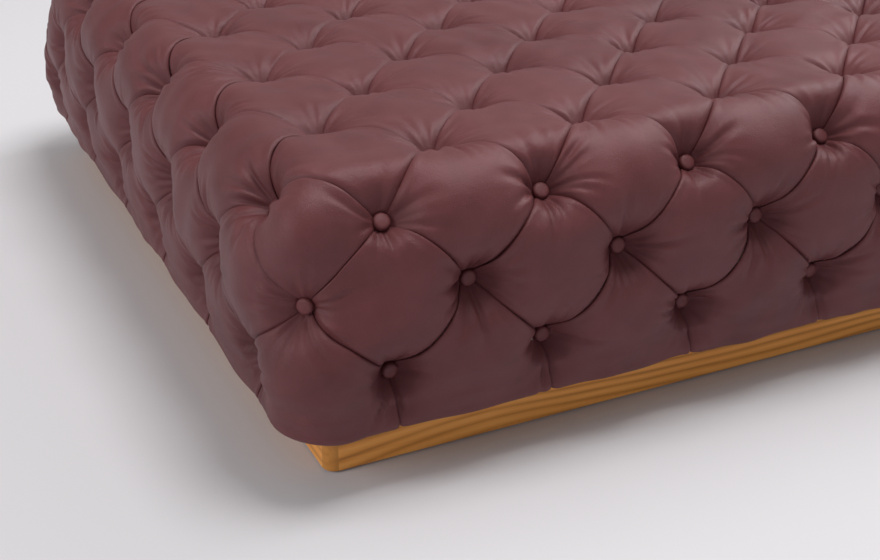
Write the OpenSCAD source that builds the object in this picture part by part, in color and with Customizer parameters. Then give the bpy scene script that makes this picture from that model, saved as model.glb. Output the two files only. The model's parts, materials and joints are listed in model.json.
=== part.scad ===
// Deep-buttoned leather island seat on a recessed solid wood plinth.
// +Z is up, +X runs along the long front, -Y is the front. The origin lies on the floor,
// under the middle of the seat. All lengths are in millimetres.

/* [Tufting] */
// Distance between two neighbouring buttons of a row
button_pitch = 220; // [190:1:250]
// Pitches along the front, an even number
pitches_wide = 8; // [4:2:10]
// Pitches from front to back
pitches_deep = 6; // [4:1:8]
// Rise of a top pad's crest over the dip under a button
pad_height = 38; // [28:1:54]
// How much higher the pads of the sides are than those of the top
side_swell = 20; // [0:1:24]
// Part of that rise that a pleat keeps halfway between two buttons
pleat_share = 0.84; // [0.5:0.01:0.9]
// Part of it that a side's pleat keeps below the lower buttons
belly_pleat_share = 0.6; // [0.4:0.01:0.7]
// Roundness of a pad from its pleat to its crest, where less is fuller
pad_round_share = 0.6; // [0.4:0.05:1]
// How far the shoulder row of buttons is drawn in
shoulder_inset = 16; // [8:1:24]
// How far the cover's lower edge stands out past the side buttons
edge_overhang = 31; // [20:1:40]
// How far the lower edge swells out between two pleats
edge_swell = 5; // [0:1:10]
// Part of a pad's overhang that is kept where it wraps round a vertical corner
corner_share = 0.45; // [0.3:0.05:0.9]
// Part of the pad height that the pad on a top corner keeps at its tip
tip_share = 0.5; // [0.3:0.05:0.8]

/* [Heights] */
// Height of the plinth rails
plinth_height = 85; // [60:1:110]
// Lower row of buttons over the cover's lower edge
lower_row_rise = 73; // [60:1:90]
// Upper row of buttons over the lower row
upper_row_rise = 107; // [80:1:120]
// Shoulder row of buttons over the upper row
shoulder_row_rise = 93; // [88:1:110]
// Buttons of the top over the shoulder row
top_row_rise = 36; // [20:1:44]

/* [Buttons] */
// Diameter of a covered button
button_d = 21; // [16:0.5:26]
// Height of a button, from its eye to the top of its dome, over its rim
button_h = 15; // [13:0.5:18]
// Height of a button's rim over the dip that it sits in
button_rim = 10; // [9.5:0.5:12]
// Diameter of the button twine
twine_d = 2.4; // [1.5:0.1:3]
// Diameter of the knot that ends a twine
knot_d = 7; // [5:0.5:9]
// Diameter of a twine washer
twine_washer_d = 18; // [14:0.5:18]
// Thickness of a twine washer
twine_washer_t = 2; // [1:0.1:3]
// Diameter of the twine holes in the boards
board_hole_d = 6; // [5:0.5:8]

/* [Upholstery] */
// Thickness of the leather
leather_t = 1.4; // [1:0.1:2]
// Least thickness of the fibre filling, under a button
filling_min = 1.6; // [1:0.1:4]
// Thickness of the seat foam, up to the shoulder row
seat_foam_t = 50; // [40:1:60]
// Thickness of the foam on the sides
side_foam_t = 40; // [30:1:45]
// Chamfer along the seat foam's top edge, past the rise of the top's buttons
foam_chamfer = 14; // [10:1:20]
// How far the leather's hem is turned in under the frame
hem_lap = 16; // [12:1:20]
// Thickness of the dust cover
dust_cover_t = 0.8; // [0.5:0.1:1.2]
// How far the dust cover laps over the hem
dust_lap = 5; // [3:1:8]

/* [Frame] */
// Thickness of the plywood boards
board_t = 18; // [15:1:21]
// Width of the boards of the base frame
base_board_w = 120; // [115:1:130]
// Width of a seat joist
joist_w = 40; // [30:1:45]
// Side of a corner post
post_w = 28; // [24:1:28]
// Chamfer on the inner edge of a corner post
post_chamfer = 16; // [12:1:20]

/* [Plinth] */
// How far the plinth lies behind the side buttons
plinth_inset = 34; // [28:1:42]
// Thickness of a plinth rail
plinth_t = 28; // [22:1:32]
// Radius of the plinth's vertical corners
plinth_corner_r = 18; // [8:1:21]
// Width of a cross rail
cross_rail_w = 45; // [40:1:60]
// Side of a glue block
block_w = 70; // [66:1:76]
// Clearance between the glue blocks and the foot of the rails
block_lift = 6; // [4:1:10]
// Diameter of a floor glide
glide_d = 20; // [16:1:22]
// Thickness of a floor glide
glide_h = 3; // [2:0.5:5]

/* [Fasteners] */
// Thread diameter of the plinth bolts
bolt_d = 8; // [6:1:8]
// Width of a bolt's hexagon across its corners
bolt_head_d = 15; // [12:0.5:16]
// Height of a bolt's head
bolt_head_h = 5.3; // [4:0.1:6]
// Depth of the counterbore for a bolt's head
bolt_recess = 14; // [10:1:20]
// Diameter of a bolt's washer, and with its clearance of the counterbore
bolt_washer_d = 20; // [18:1:22]
// Thickness of a bolt's washer
bolt_washer_t = 1.6; // [1:0.1:2.5]
// Distance of a bolt from the plinth's inner face
bolt_inset = 50; // [46:1:54]
// Diameter of a tee nut's barrel
tee_barrel_d = 11; // [10:0.5:12]
// Length of a tee nut's barrel
tee_barrel_h = 10; // [8:1:12]
// Diameter of a tee nut's flange
tee_flange_d = 22; // [18:1:24]
// Thickness of a tee nut's flange
tee_flange_t = 1.6; // [1:0.1:2]
// Shank diameter of a frame screw
screw_d = 4; // [3:0.5:5]
// Head diameter of a frame screw
screw_head_d = 8; // [7:0.5:10]
// Length of a frame screw
screw_l = 45; // [35:1:50]
// Length of a staple's crown
staple_l = 10; // [8:1:13]
// Width of a staple's wire
staple_w = 1.2; // [0.8:0.1:1.6]
// Thickness of a staple's wire
staple_t = 0.6; // [0.4:0.1:0.8]

/* [Hidden] */

$fn = 32;
// Radial clearance of a pin, bolt or twine in its hole
fit_clearance = 0.2;
// Overrun of every cut
cut = 1;

// Button planes: half the width and depth between the buttons of opposite sides
half_x = pitches_wide * button_pitch / 2;
half_y = pitches_deep * button_pitch / 2;
// Grid steps to one pitch, for the sewn form of the cover
steps = 4;
step = button_pitch / steps;
cols_x = pitches_wide * steps;
cols_y = pitches_deep * steps;
// Grid columns once round the four sides, and those at the corners
cols = 2 * (cols_x + cols_y);
corner_cols = [0, cols_x, cols_x + cols_y, 2 * cols_x + cols_y];

// Heights over the floor
z_rail = glide_h;
z_plinth = z_rail + plinth_height;
z_frame = z_plinth + dust_cover_t;
z_hem = z_frame + leather_t;
z_board = z_frame + board_t;
z_lower = z_plinth + lower_row_rise;
z_upper = z_lower + upper_row_rise;
z_shoulder = z_upper + shoulder_row_rise;
z_top = z_shoulder + top_row_rise;
z_foam = z_top - button_rim - leather_t - filling_min;
z_deck = z_foam - top_row_rise - seat_foam_t;
z_joist = z_deck - board_t;

// Insets from the button planes, measured inwards
in_foam = button_rim + leather_t + filling_min;
in_panel = in_foam + side_foam_t;
in_post = in_panel + board_t;
in_base = in_foam + base_board_w;
in_hem = in_foam + hem_lap;
in_dust = in_hem - dust_lap;
in_rail = plinth_inset + plinth_t;
in_bolt = in_rail + bolt_inset;
slant = sqrt(1 / 2);
// Slope of the seat foam down to the shoulder row
foam_slope = top_row_rise + foam_chamfer;

// Joists and cross rails stand a quarter pitch off the buttons
function along(share) = share * pitches_wide * button_pitch - half_x;
joist_x = [along(1 / 4) - step, step, along(3 / 4) + step];
mid_block_x = [-button_pitch, button_pitch];
corners = [[-1, -1], [1, -1], [1, 1], [-1, 1]];
bolt_places = concat(
    [for (c = corners) [c[0] * (half_x - in_bolt), c[1] * (half_y - in_bolt)]],
    [for (x = mid_block_x) for (side = [-1, 1]) [x, side * (half_y - in_bolt)]]);

// Colours
leather_red = [0.40, 0.20, 0.21];
honey_wood = [0.62, 0.38, 0.17];
birch_ply = [0.83, 0.70, 0.50];
pine = [0.87, 0.75, 0.54];
foam_yellow = [0.93, 0.88, 0.66];
fibre_white = [0.93, 0.93, 0.91];
steel = [0.68, 0.69, 0.71];
black_cloth = [0.10, 0.10, 0.11];

// The sewn form
// Columns run round the sides from the front left corner, to the right along the front.
// Rows rise from the hem: hem, edge, belly, lower buttons, between, upper buttons,
// between, shoulder buttons.
row_hem = 0;
row_edge = row_hem + 1;
row_belly = row_edge + 1;
row_lower = row_belly + 1;
row_upper = row_lower + steps / 2;
row_shoulder = row_upper + steps / 2;
rows = row_shoulder + 1;
half_steps = steps / 2;
// Lean of the shoulder's middle row, in degrees
shoulder_lean = 25;

function wrap(k) = (k + cols) % cols;
// Outward signs of a column's side, with two of them at a corner
function out_y(k) = k <= cols_x ? -1 : k >= corner_cols[2] && k <= corner_cols[3] ? 1 : 0;
function out_x(k) = k >= corner_cols[1] && k <= corner_cols[2] ? 1
    : k >= corner_cols[3] || k == 0 ? -1 : 0;
function at_corner(k) = out_x(k) != 0 && out_y(k) != 0;
function column_x(k) = k <= cols_x ? k * step - half_x
    : k <= corner_cols[2] ? half_x
    : k <= corner_cols[3] ? half_x - (k - corner_cols[2]) * step : -half_x;
function column_y(k) = k <= cols_x ? -half_y
    : k <= corner_cols[2] ? (k - cols_x) * step - half_y
    : k <= corner_cols[3] ? half_y : half_y - (k - corner_cols[3]) * step;
// A point of column k that lies out past the button plane, at height z
function out_point(k, out, z, share = 1) =
    let (o = at_corner(k) ? out * share : out)
    [column_x(k) + out_x(k) * o, column_y(k) + out_y(k) * o, z];

// Distance to the nearest pleat, in pitches, for a coordinate across the pleats
function off_whole(u) = abs(u - round(u));
function off_half(u) = 1 / 2 - off_whole(u);
function swell(d) = pow(sin(180 * d), pad_round_share);
// Share of the pad height at a point, from its distances to the two families of pleats
function pad_share(du, dv) =
    let (a = swell(du), b = swell(dv))
    pleat_share * (a + b - a * b) + (1 - pleat_share) * a * b;
function side_share(k, row) =
    let (s = k / steps, w = (row - row_upper) / steps)
    pad_share(off_whole(s + w), off_whole(s - w));
function top_share(i, j) =
    let (s = i / steps, t = j / steps)
    pad_share(off_half(s + t), off_half(s - t));

// Each row's dip, as [out, z], and its outward direction, as [out, up]
row_dip = [
    [-in_hem, z_frame],
    [edge_overhang, z_frame],
    [-button_rim, (z_frame + z_lower) / 2],
    [-button_rim, z_lower],
    [-button_rim, (z_lower + z_upper) / 2],
    [-button_rim, z_upper],
    [-button_rim - shoulder_inset / 4, (z_upper + z_shoulder) / 2],
    [-shoulder_inset - button_rim * slant, z_shoulder - button_rim * slant]
];
row_way = [[0, -1], [slant, -slant], [1, 0], [1, 0], [1, 0], [1, 0],
    [cos(shoulder_lean), sin(shoulder_lean)], [slant, slant]];
// Crests of the sides' pads, and of their bellies below the lower buttons
side_pad_rise = pad_height + side_swell;
belly_share = 0.86;
belly_rise = side_pad_rise * belly_share;
// Rise of the cover over its dip at each grid point of the sides
function side_rise(k, row) =
    row == row_hem ? 0
    : row == row_edge ? edge_swell * swell(off_half(k / steps))
    : row == row_belly
        ? belly_rise * (belly_pleat_share + (1 - belly_pleat_share) * swell(off_half(k / steps)))
    : row == row_shoulder && at_corner(k) ? side_pad_rise * tip_share
    : side_pad_rise * side_share(k, row);
function side_point(k, row, depth = 0) =
    let (dip = row_dip[row], way = row_way[row], h = side_rise(k, row) - depth)
    out_point(k, dip[0] + way[0] * h, dip[1] + way[1] * h,
        row == row_hem || row == row_upper ? 1 : corner_share);
function top_point(i, j, depth = 0) =
    [i * step - half_x, j * step - half_y,
     z_top - button_rim + pad_height * top_share(i, j) - depth];

// All grid points of the cover: the sides column by column, then the top's inner points
function skin_points(depth) = concat(
    [for (k = [0 : cols - 1]) for (row = [0 : rows - 1]) side_point(k, row, depth)],
    [for (i = [1 : cols_x - 1]) for (j = [1 : cols_y - 1]) top_point(i, j, depth)]);
skin_count = cols * rows + (cols_x - 1) * (cols_y - 1);
function side_id(k, row) = wrap(k) * rows + row;
function top_id(i, j) =
    j == 0 ? side_id(i, row_shoulder)
    : i == cols_x ? side_id(cols_x + j, row_shoulder)
    : j == cols_y ? side_id(corner_cols[3] - i, row_shoulder)
    : i == 0 ? side_id(cols - j, row_shoulder)
    : cols * rows + (i - 1) * (cols_y - 1) + j - 1;

// A grid cell's two triangles, split along the rising or the falling diagonal
function split(a, b, c, d, falling) = falling ? [[a, b, d], [b, c, d]] : [[a, b, c], [a, c, d]];
function modulo(n, m) = (n % m + m) % m;
// The diagonals follow the pleats
function side_falling(k, row) =
    let (m = row - row_lower)
    row < row_lower ? modulo(k, steps) >= half_steps
    : modulo(k + m, steps) == 1 || modulo(k - m, steps) == 0;
function top_falling(i, j) = modulo(i + j, steps) == 1 || modulo(i - j, steps) == 0;
function side_cell(k, row) =
    split(side_id(k, row), side_id(k + 1, row), side_id(k + 1, row + 1), side_id(k, row + 1),
        side_falling(k, row));
function top_cell(i, j) =
    split(top_id(i, j), top_id(i + 1, j), top_id(i + 1, j + 1), top_id(i, j + 1),
        top_falling(i, j));
// Centres of a cell's two triangles, in pitches from the cell's grid origin
third = 1 / 3;
function cell_middles(i, j, falling) =
    falling ? [[i + third, j + third] / steps, [i + 2 * third, j + 2 * third] / steps]
    : [[i + 2 * third, j + third] / steps, [i + third, j + 2 * third] / steps];

// The cover's seams lie in the pleats: a zigzag between the two upper rows of buttons
// parts the sides from the top, another parts the top in two, and each side begins
// at the first pleat past its corner.
function seam_row(k) = row_shoulder - abs(modulo(k, steps) - half_steps);
function below_seam(q, w) = w < off_whole(q);
function seam_start(w) = min(max(-w, 0), 1 / 2);
function top_seam(t) = pitches_wide / 2 - 1 / 2 + off_whole(t);

split_front = (cols_x - steps) / 2;
split_back = corner_cols[3] - split_front;

function side_height(row) = row - row_upper;
// Triangles of the sides whose centre passes one of two tests
function side_faces(first, last) = [
    for (k = [0 : cols - 1]) for (row = [0 : rows - 2])
        let (mid = cell_middles(k, side_height(row), side_falling(k, row)), f = side_cell(k, row))
        for (n = [0, 1])
            let (q = mid[n][0], w = mid[n][1], c = seam_start(w), p = q < c ? q + cols / steps : q)
            if (below_seam(q, w) && p > first / steps + c && p < last / steps + c) f[n]];
function shoulder_faces(left) = [
    for (k = [0 : cols - 1]) for (row = [row_upper : rows - 2])
        let (mid = cell_middles(k, side_height(row), side_falling(k, row)), f = side_cell(k, row),
             is_left = k < split_front || k >= split_back)
        for (n = [0, 1]) if (!below_seam(mid[n][0], mid[n][1]) && is_left == left) f[n]];
function top_faces(left) = [
    for (i = [0 : cols_x - 1]) for (j = [0 : cols_y - 1])
        let (mid = cell_middles(i, j, top_falling(i, j)), f = top_cell(i, j))
        for (n = [0, 1]) if ((mid[n][0] < top_seam(mid[n][1])) == left) f[n]];

// Borders, with the panel on their left seen from outside
function seam_border(first, last) = [
    for (k = [first : last]) side_id(k, seam_row(k))];
function reversed(list) = [for (n = [len(list) - 1 : -1 : 0]) list[n]];
top_border = [for (j = [1 : cols_y - 1]) top_id(steps * top_seam(j / steps), j)];
function side_border(first, last) = concat(
    [for (k = [first + half_steps : last + half_steps]) side_id(k, row_hem)],
    [for (row = [row_edge : row_lower]) side_id(last + half_steps, row)],
    [side_id(last + half_steps - 1, row_lower + 1)],
    reversed(seam_border(first, last)),
    [side_id(first + half_steps - 1, row_lower + 1)],
    [for (row = [row_lower : -1 : row_edge]) side_id(first + half_steps, row)]);

function flip(faces) = [for (f = faces) [f[0], f[2], f[1]]];
function deeper(faces, n) = [for (f = faces) [f[0] + n, f[1] + n, f[2] + n]];
// The wall between a border on the outer face and the same border on the inner one
function border_wall(border, n) = [
    for (m = [0 : len(border) - 1])
        let (a = border[m], b = border[(m + 1) % len(border)])
        each [[b, a, a + n], [b, a + n, b + n]]];

// A panel of leather: its outer faces, its inner faces and the walls along its border
module leather_panel(faces, border) {
    polyhedron(
        points = concat(skin_points(0), skin_points(leather_t)),
        faces = flip(concat(faces, flip(deeper(faces, skin_count)), border_wall(border, skin_count))),
        convexity = 8);
}

module leather_top(left) {
    color(leather_red)
        leather_panel(
            concat(top_faces(left), shoulder_faces(left)),
            left ? concat(seam_border(split_back, cols + split_front), top_border)
                : concat(seam_border(split_front, split_back), reversed(top_border)));
}

module leather_side(side) {
    first = corner_cols[side];
    last = side == 3 ? cols : corner_cols[side + 1];
    color(leather_red) leather_panel(side_faces(first, last), side_border(first, last));
}

module leather_top_left() { leather_top(true); }
module leather_top_right() { leather_top(false); }
module leather_front() { leather_side(0); }
module leather_right() { leather_side(1); }
module leather_back() { leather_side(2); }
module leather_left() { leather_side(3); }

// The foam's shoulder, as rings of points round the sides: middle of the slope and its
// upper and lower edge, and the foot at the base boards
// Part of its own spacing that a ring's column keeps where the corner pushes it along
ring_share = 0.2;
function drawn_in(c, half, inset) =
    sign(c) * min(abs(c), half - inset - (half - abs(c)) * ring_share);
function ring(inset, z) = [
    for (k = [0 : cols - 1])
        [drawn_in(column_x(k), half_x, inset), drawn_in(column_y(k), half_y, inset), z]];
chamfer_ring = ring(in_foam + foam_slope / 2, z_foam - foam_slope / 2);
function row_ring(row, depth) = [for (k = [0 : cols - 1]) side_point(k, row, depth)];
// Strips between two rings whose points start at a and b
function strip(a, b) = [
    for (k = [0 : cols - 1])
        let (n = (k + 1) % cols)
        each [[a + k, a + n, b + n], [a + k, b + n, b + k]]];
// The outer strips of the filling split along the pleats, as the leather does
function pleated_strip(a, b, row) = [
    for (k = [0 : cols - 1])
        let (n = (k + 1) % cols)
        each split(a + k, a + n, b + n, b + k, side_falling(k, row))];

module top_filling() {
    edge_ring = ring(in_foam + foam_slope, z_foam);
    inner = [for (i = [1 : cols_x - 1]) for (j = [1 : cols_y - 1]) top_point(i, j, leather_t)];
    start = 3 * cols;
    function id(i, j) =
        j == 0 ? i
        : i == cols_x ? cols_x + j
        : j == cols_y ? corner_cols[3] - i
        : i == 0 ? (cols - j) % cols
        : start + (i - 1) * (cols_y - 1) + j - 1;
    middle = start + len(inner);
    points = concat(chamfer_ring, edge_ring, inner, [[0, 0, z_foam]]);
    surface = [for (i = [0 : cols_x - 1]) for (j = [0 : cols_y - 1])
        each split(id(i, j), id(i + 1, j), id(i + 1, j + 1), id(i, j + 1), top_falling(i, j))];
    floor_fan = [for (k = [0 : cols - 1]) [start + len(inner), 2 * cols + (k + 1) % cols, 2 * cols + k]];
    color(fibre_white)
        polyhedron(
            points = concat(row_ring(row_shoulder, leather_t), points),
            faces = flip(concat(surface, strip(cols, 0), strip(2 * cols, cols), floor_fan)),
            convexity = 8);
}

module side_filling() {
    outer = [for (row = [row_edge : row_shoulder]) row_ring(row, leather_t)];
    lower_ring = ring(in_foam, z_foam - foam_slope);
    foot_ring = ring(in_foam, z_hem);
    strips = len(outer) - 1;
    back = len(outer) * cols;
    color(fibre_white)
        polyhedron(
            points = concat([for (r = outer) each r], chamfer_ring, lower_ring, foot_ring),
            faces = flip(concat(
                [for (n = [0 : strips - 1]) each pleated_strip(n * cols, (n + 1) * cols, n + row_edge)],
                strip(strips * cols, back), strip(back, back + cols),
                strip(back + cols, back + 2 * cols), strip(back + 2 * cols, 0))),
            convexity = 8);
}

// Places of the buttons, as [x, y, z of the dip, plan angle, tilt from upright]
function plan_angle(k) = atan2(out_y(k), out_x(k));
function side_place(k, row, tilt) =
    let (p = side_point(k, row)) [p[0], p[1], p[2], plan_angle(k), tilt];
seat_places = [
    for (i = [1 : 2 * pitches_wide - 1]) for (j = [1 : 2 * pitches_deep - 1])
        if ((i + j) % 2 == 1)
            let (p = top_point(i * steps / 2, j * steps / 2)) [p[0], p[1], p[2], 0, 0]];
shoulder_places = [for (k = [half_steps : steps : cols - 1]) side_place(k, row_shoulder, 45)];
upper_places = [for (k = [0 : steps : cols - 1]) side_place(k, row_upper, 90)];
lower_places = [for (k = [half_steps : steps : cols - 1]) side_place(k, row_lower, 90)];

module at_places(places) {
    for (p = places)
        translate([p[0], p[1], p[2]]) rotate([0, p[4], p[3]]) children();
}

// A covered button, whose back narrows to the eye at the dip of the leather
dome_segments = 5;
module button() {
    rim = button_d / 2;
    rotate_extrude()
        polygon(concat(
            [[0, fit_clearance], [rim, button_rim]],
            [for (n = [1 : dome_segments - 1])
                [rim * cos(90 * n / dome_segments),
                 button_rim + (button_h - button_rim) * sin(90 * n / dome_segments)]],
            [[0, button_h]]));
}

module seat_buttons() { color(leather_red) at_places(seat_places) button(); }
module shoulder_buttons() { color(leather_red) at_places(shoulder_places) button(); }
module upper_row_buttons() { color(leather_red) at_places(upper_places) button(); }
module lower_row_buttons() { color(leather_red) at_places(lower_places) button(); }

// Depths from a dip to the inner face of the board that holds the twine
seat_depth = z_top - button_rim - z_joist;
shoulder_depth = (z_shoulder - button_rim * slant - z_joist) / slant;
side_depth = in_post - button_rim;
corner_depth = (in_post + post_w - post_chamfer / 2 - button_rim) / slant;
function at_corner_place(p) = p[3] % 90 != 0;
function place_depth(p) = at_corner_place(p) ? corner_depth : side_depth;
// Where a shoulder twine comes out under the deck
shoulder_exit = shoulder_inset + button_rim * slant + shoulder_depth * slant;
exit_places = [for (k = [half_steps : steps : cols - 1])
    let (p = out_point(k, -shoulder_exit, z_joist)) [p[0], p[1], p[2], 0, 0]];

// A hole along the twine's line, from past the dip to past the board
module twine_hole(depth, d) {
    translate([0, 0, -depth - cut]) cylinder(d = d, h = depth + button_h);
}

module twine_holes(d) {
    at_places(seat_places) twine_hole(seat_depth, d);
    at_places(shoulder_places) twine_hole(shoulder_depth + board_hole_d, d);
}

module side_twine_holes(d, clearance_depth) {
    for (p = concat(upper_places, lower_places))
        at_places([p]) twine_hole(place_depth(p) + clearance_depth, d);
}

module knot() { translate([0, 0, -twine_washer_t - knot_d / 2]) sphere(d = knot_d); }
module twine(depth) {
    translate([0, 0, -depth - twine_washer_t - knot_d / 2])
        cylinder(d = twine_d, h = depth + twine_washer_t + knot_d / 2 + fit_clearance);
    translate([0, 0, -depth]) knot();
}

module seat_twines() {
    color(black_cloth) {
        at_places(seat_places) twine(seat_depth);
        for (n = [0 : len(shoulder_places) - 1])
            union() {
                at_places([shoulder_places[n]])
                    translate([0, 0, -shoulder_depth]) cylinder(d = twine_d, h = shoulder_depth + fit_clearance);
                at_places([exit_places[n]]) {
                    sphere(d = twine_d + 2 * fit_clearance);
                    twine(0);
                }
            }
    }
}

module side_twines() {
    color(black_cloth) for (p = concat(upper_places, lower_places)) at_places([p]) twine(place_depth(p));
}

module twine_washer() {
    translate([0, 0, -twine_washer_t]) difference() {
        cylinder(d = twine_washer_d, h = twine_washer_t);
        translate([0, 0, -cut]) cylinder(d = twine_d + 2 * fit_clearance, h = twine_washer_t + 2 * cut);
    }
}

module seat_twine_washers() {
    color(steel) {
        at_places(seat_places) translate([0, 0, -seat_depth]) twine_washer();
        at_places(exit_places) twine_washer();
    }
}

module side_twine_washers() {
    color(steel) for (p = concat(upper_places, lower_places))
        at_places([p]) translate([0, 0, -place_depth(p)]) twine_washer();
}

// A box between two insets from the side planes and two heights, over the whole plan
module inset_slab(inset, z_low, z_high) {
    translate([inset - half_x, inset - half_y, z_low])
        cube([2 * (half_x - inset), 2 * (half_y - inset), z_high - z_low]);
}
// A bar along the front, from x_low to x_high, between two insets and two heights
module front_bar(x_low, x_high, outer, inner, z_low, z_high) {
    translate([x_low, outer - half_y, z_low]) cube([x_high - x_low, inner - outer, z_high - z_low]);
}
module left_bar(y_low, y_high, outer, inner, z_low, z_high) {
    translate([outer - half_x, y_low, z_low]) cube([inner - outer, y_high - y_low, z_high - z_low]);
}

// Foam
module seat_foam() {
    color(foam_yellow) difference() {
        intersection() {
            translate([0, half_y, 0]) rotate([90, 0, 0])
                linear_extrude(2 * half_y) foam_section(half_x - in_foam);
            translate([-half_x, 0, 0]) rotate([90, 0, 90])
                linear_extrude(2 * half_x) foam_section(half_y - in_foam);
        }
        twine_holes(twine_d + 2 * fit_clearance);
    }
}
module foam_section(half) {
    polygon([[-half, z_deck], [half, z_deck], [half, z_foam - foam_slope],
        [half - foam_slope, z_foam], [foam_slope - half, z_foam], [-half, z_foam - foam_slope]]);
}
module long_foam() {
    difference() {
        front_bar(in_foam - half_x, half_x - in_foam, in_foam, in_panel, z_board, z_deck);
        side_twine_holes(twine_d + 2 * fit_clearance, 0);
    }
}
module short_foam() {
    difference() {
        left_bar(in_panel - half_y, half_y - in_panel, in_foam, in_panel, z_board, z_deck);
        side_twine_holes(twine_d + 2 * fit_clearance, 0);
    }
}
module front_foam() { color(foam_yellow) long_foam(); }
module back_foam() { color(foam_yellow) mirror([0, 1, 0]) long_foam(); }
module left_foam() { color(foam_yellow) short_foam(); }
module right_foam() { color(foam_yellow) mirror([1, 0, 0]) short_foam(); }

// Seat deck, in two boards that meet on the middle joist
module deck_board(x_low, x_high) {
    color(birch_ply) difference() {
        translate([x_low, in_panel - half_y, z_joist])
            cube([x_high - x_low, 2 * (half_y - in_panel), board_t]);
        twine_holes(board_hole_d);
        deck_screw_places() screw_hole();
    }
}
module seat_deck_left() { deck_board(in_panel - half_x, joist_x[1]); }
module seat_deck_right() { deck_board(joist_x[1], half_x - in_panel); }

// Side panels, which stand on the base boards and carry the deck
module long_panel() {
    difference() {
        front_bar(in_panel - half_x, half_x - in_panel, in_panel, in_post, z_board, z_joist);
        side_twine_holes(board_hole_d, 0);
        base_screw_places() screw_hole();
    }
}
module short_panel() {
    difference() {
        left_bar(in_post - half_y, half_y - in_post, in_panel, in_post, z_board, z_joist);
        side_twine_holes(board_hole_d, 0);
        base_screw_places() screw_hole();
    }
}
module front_panel() { color(birch_ply) long_panel(); }
module back_panel() { color(birch_ply) mirror([0, 1, 0]) long_panel(); }
module left_panel() { color(birch_ply) short_panel(); }
module right_panel() { color(birch_ply) mirror([1, 0, 0]) short_panel(); }

// Room for the first washers and knots beside a corner post
module washer_recesses() {
    for (p = concat(upper_places, lower_places)) if (!at_corner_place(p))
        at_places([p]) translate([0, 0, -side_depth - twine_washer_t - knot_d - cut])
            cylinder(d = twine_washer_d + 2 * fit_clearance, h = twine_washer_t + knot_d + cut);
}

// Corner posts, chamfered where the corner button's twine comes out
module corner_post(side) {
    c = corners[side];
    color(pine) difference() {
        translate([c[0] * half_x, c[1] * half_y, z_board])
            scale([-c[0], -c[1], 1]) translate([in_post, in_post, 0])
                linear_extrude(z_joist - z_board)
                    polygon([[0, 0], [post_w, 0], [post_w, post_w - post_chamfer],
                        [post_w - post_chamfer, post_w], [0, post_w]]);
        side_twine_holes(board_hole_d, 0);
        washer_recesses();
    }
}
module corner_post_front_left() { corner_post(0); }
module corner_post_front_right() { corner_post(1); }
module corner_post_back_right() { corner_post(2); }
module corner_post_back_left() { corner_post(3); }

// Joists, notched over the base boards
module joist(x) {
    color(pine) difference() {
        translate([x - joist_w / 2, in_post - half_y, z_frame])
            cube([joist_w, 2 * (half_y - in_post), z_joist - z_frame]);
        for (side = [-1, 1])
            translate([x - joist_w / 2 - cut, side * (half_y - in_base / 2) - in_base / 2, z_frame - cut])
                cube([joist_w + 2 * cut, in_base, board_t + cut]);
        deck_screw_places() screw_hole();
    }
}
module joist_left() { joist(joist_x[0]); }
module joist_middle() { joist(joist_x[1]); }
module joist_right() { joist(joist_x[2]); }

// Base boards, rebated for the hem and drilled for the tee nuts
module base_cuts() {
    difference() {
        inset_slab(in_foam - cut, z_frame - cut, z_hem);
        inset_slab(in_hem, z_frame - 2 * cut, z_hem + cut);
    }
    for (p = bolt_places)
        translate([p[0], p[1], z_frame - cut]) cylinder(d = tee_barrel_d, h = board_t + 2 * cut);
    base_screw_places() screw_hole();
}
module long_base_board() {
    difference() {
        front_bar(in_foam - half_x, half_x - in_foam, in_foam, in_base, z_frame, z_board);
        base_cuts();
    }
}
module short_base_board() {
    difference() {
        left_bar(in_base - half_y, half_y - in_base, in_foam, in_base, z_frame, z_board);
        base_cuts();
    }
}
module base_front_board() { color(birch_ply) long_base_board(); }
module base_back_board() { color(birch_ply) mirror([0, 1, 0]) long_base_board(); }
module base_left_board() { color(birch_ply) short_base_board(); }
module base_right_board() { color(birch_ply) mirror([1, 0, 0]) short_base_board(); }

// Frame screws: down through the deck into the joists, and up through the base boards
module screw() {
    head_h = (screw_head_d - screw_d) / 2;
    translate([0, 0, -screw_l]) cylinder(d = screw_d, h = screw_l - head_h);
    translate([0, 0, -head_h]) cylinder(d1 = screw_d, d2 = screw_head_d, h = head_h);
}
module screw_hole() {
    screw();
    cylinder(d = screw_head_d, h = cut);
}
module deck_screw_places() {
    for (x = [joist_x[0], joist_x[1] - joist_w / 4, joist_x[1] + joist_w / 4, joist_x[2]])
        for (n = [0 : pitches_deep - 1])
            translate([x, (n + 1 / 2) * button_pitch - half_y, z_deck]) children();
}
module base_screw_places() {
    in_screw = (in_panel + in_post) / 2;
    for (n = [0 : pitches_wide - 1]) for (side = [-1, 1])
        translate([along((n + 1 / 2) / pitches_wide), side * (half_y - in_screw), z_frame])
            rotate([180, 0, 0]) children();
    for (n = [1 : pitches_deep - 2]) for (side = [-1, 1])
        translate([side * (half_x - in_screw), (n + 1 / 2) * button_pitch - half_y, z_frame])
            rotate([180, 0, 0]) children();
}
module frame_screws() {
    color(steel) {
        deck_screw_places() screw();
        base_screw_places() screw();
    }
}

// Dust cover and staples
module dust_cover() {
    color(black_cloth) difference() {
        inset_slab(in_dust, z_plinth, z_frame);
        for (p = bolt_places)
            translate([p[0], p[1], z_plinth - cut])
                cylinder(d = bolt_d + 2 * fit_clearance, h = dust_cover_t + 2 * cut);
    }
}
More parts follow.
